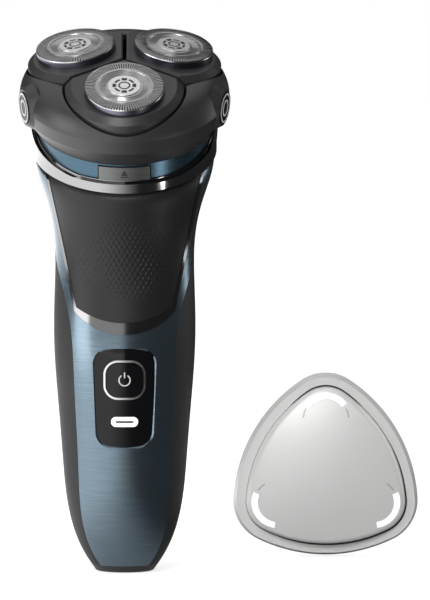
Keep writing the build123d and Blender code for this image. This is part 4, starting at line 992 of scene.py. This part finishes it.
def floor_finish(near_glow, far_glow):
    """A pale floor that keeps a soft shadow near the shaver and looks white to the camera farther off; in
    reflections it is near black, with a painted bright reflection band on its left side that fades out to
    the right.
    """
    material, shader = new_finish("studio_floor", tuple(colours().floor), roughness=0.6)
    shader.inputs["Specular IOR Level"].default_value = 0.0
    nodes, links = material.node_tree.nodes, material.node_tree.links
    where = nodes.new("ShaderNodeTexCoord")
    away = nodes.new("ShaderNodeVectorMath")
    away.operation = "LENGTH"
    fade = nodes.new("ShaderNodeMapRange")
    fade.inputs["From Min"].default_value = 0.08
    fade.inputs["From Max"].default_value = 0.30
    fade.inputs["To Min"].default_value = near_glow
    fade.inputs["To Max"].default_value = far_glow
    path = nodes.new("ShaderNodeLightPath")
    to_camera = nodes.new("ShaderNodeMath")
    to_camera.operation = "MULTIPLY"
    split = nodes.new("ShaderNodeSeparateXYZ")
    # Painted reflection: for glossy rays alone the floor glows brightly on its left side, fading out to the
    # right, which paints a bright reflection on the shaver's left
    card = nodes.new("ShaderNodeMapRange")
    card.interpolation_type = "SMOOTHSTEP"
    card.inputs["From Min"].default_value = -0.09
    card.inputs["From Max"].default_value = 0.05
    card.inputs["To Min"].default_value = 2.2
    card.inputs["To Max"].default_value = 0.02
    to_gloss = nodes.new("ShaderNodeMath")
    to_gloss.operation = "MULTIPLY"
    glow = nodes.new("ShaderNodeMath")
    glow.operation = "ADD"
    # Painted reflection: for glossy rays the floor's colour turns near black, which paints a dark
    # reflection on the shaver's right
    tone = nodes.new("ShaderNodeMix")
    tone.data_type = "RGBA"
    tone.inputs["A"].default_value = (*colours().floor, 1)
    tone.inputs["B"].default_value = (0.03, 0.03, 0.03, 1)
    shader.inputs["Emission Color"].default_value = (1, 1, 1, 1)
    links.new(where.outputs["Object"], away.inputs[0])
    links.new(where.outputs["Object"], split.inputs[0])
    links.new(away.outputs["Value"], fade.inputs["Value"])
    links.new(path.outputs["Is Camera Ray"], to_camera.inputs[0])
    links.new(fade.outputs["Result"], to_camera.inputs[1])
    links.new(split.outputs["X"], card.inputs["Value"])
    links.new(card.outputs["Result"], to_gloss.inputs[0])
    links.new(path.outputs["Is Glossy Ray"], to_gloss.inputs[1])
    links.new(to_camera.outputs[0], glow.inputs[0])
    links.new(to_gloss.outputs[0], glow.inputs[1])
    links.new(glow.outputs[0], shader.inputs["Emission Strength"])
    links.new(path.outputs["Is Glossy Ray"], tone.inputs["Factor"])
    links.new(tone.outputs["Result"], shader.inputs["Base Color"])
    return material


class SHAVER_OT_stage(bpy.types.Operator):
    """Set up the camera, lamps, world and floor"""

    bl_idname = "shaver.stage"
    bl_label = "Studio"

    def execute(self, context):
        scene = context.scene
        deselect()
        bpy.ops.mesh.primitive_plane_add(size=4)
        ground = context.object
        ground.name = "studio_ground"
        ground.data.transform(Matrix.Translation((0, 0, CAD_BOX[0][2] - 0.0002)))
        ground.data.materials.append(floor_finish(0.75, 1.0))

        white_world(0.15, 0.05)
        soft_lamp("key_left", (-0.54, -0.26, 0.16), (0, 0, 0.08), 0.30, 0.46, 1.9)
        soft_lamp("front_left", (-0.12, -0.80, 0.48), (0.03, 0, 0.08), 0.30, 0.30, 2.4)
        soft_lamp("front_fill", (-0.58, -1.00, 0.26), (-0.58, 0, 0.20), 1.16, 0.50, 1.5)
        soft_lamp("top_soft", (-0.10, 0.05, 0.65), (0, 0, 0.14), 0.90, 0.90, 2.2)
        soft_lamp("right_rim", (0.52, 0.20, 0.20), (0.02, 0, 0.10), 0.14, 0.40, 0.5)
        soft_lamp("ring_card", (0.125, -0.085, 0.02), (0.013, -0.022, 0.125), 0.03, 0.05, 0.0012, 30)
        soft_lamp("cap_key", (-0.06, -0.42, 0.30), (0.050, 0.035, 0.028), 0.16, 0.16, 0.012, 18)

        target = Vector((0.012, 0.0, 0.0782))
        rise = radians(5)
        distance = 3.0
        bpy.ops.object.camera_add(location=target + distance * Vector((0, -cos(rise), sin(rise))))
        camera = context.object
        camera.name = "photo_camera"
        camera.rotation_euler = (pi / 2 - rise, 0, 0)
        camera.data.sensor_fit = "VERTICAL"
        camera.data.sensor_height = 36
        camera.data.lens = 36 * 3000 / 172.8
        camera.data.shift_x = 0.081
        camera.data.clip_start = 0.01
        camera.data.dof.use_dof = False
        scene.camera = camera
        scene.view_settings.view_transform = "Standard"
        return {"FINISHED"}


class SHAVER_PT_panel(bpy.types.Panel):
    """Sizes, colours and steps of the shaver"""

    bl_idname = "SHAVER_PT_panel"
    bl_label = "Shaver"
    bl_space_type = "VIEW_3D"
    bl_region_type = "UI"
    bl_category = "Shaver"

    def draw(self, context):
        layout = self.layout
        for group in (context.scene.shaver_sizes, context.scene.shaver_colours):
            box = layout.box()
            for name in group.__annotations__:
                box.prop(group, name)
        for step in STEPS:
            layout.operator(step.bl_idname)


STEPS = (
    SHAVER_OT_finishes,
    SHAVER_OT_guards,
    SHAVER_OT_disc_marks,
    SHAVER_OT_power_symbol,
    SHAVER_OT_light_slit,
    SHAVER_OT_lattice,
    SHAVER_OT_panel_edge,
    SHAVER_OT_eject_symbol,
    SHAVER_OT_badge_rings,
    SHAVER_OT_cap_details,
    SHAVER_OT_stage,
)
CLASSES = (ShaverSizes, ShaverColours, *STEPS, SHAVER_PT_panel)


def register():
    """Registers the classes and the scene's two property groups."""
    for item in CLASSES:
        bpy.utils.register_class(item)
    bpy.types.Scene.shaver_sizes = bpy.props.PointerProperty(type=ShaverSizes)
    bpy.types.Scene.shaver_colours = bpy.props.PointerProperty(type=ShaverColours)


def unregister():
    """Takes them out again."""
    del bpy.types.Scene.shaver_colours
    del bpy.types.Scene.shaver_sizes
    for item in reversed(CLASSES):
        bpy.utils.unregister_class(item)


def main():
    """Builds every piece in order."""
    register()
    bpy.ops.shaver.finishes()
    bpy.ops.shaver.guards()
    bpy.ops.shaver.disc_marks()
    bpy.ops.shaver.power_symbol()
    bpy.ops.shaver.light_slit()
    bpy.ops.shaver.lattice()
    bpy.ops.shaver.panel_edge()
    bpy.ops.shaver.eject_symbol()
    bpy.ops.shaver.badge_rings()
    bpy.ops.shaver.cap_details()
    bpy.ops.shaver.stage()


if __name__ == "__main__":
    main()
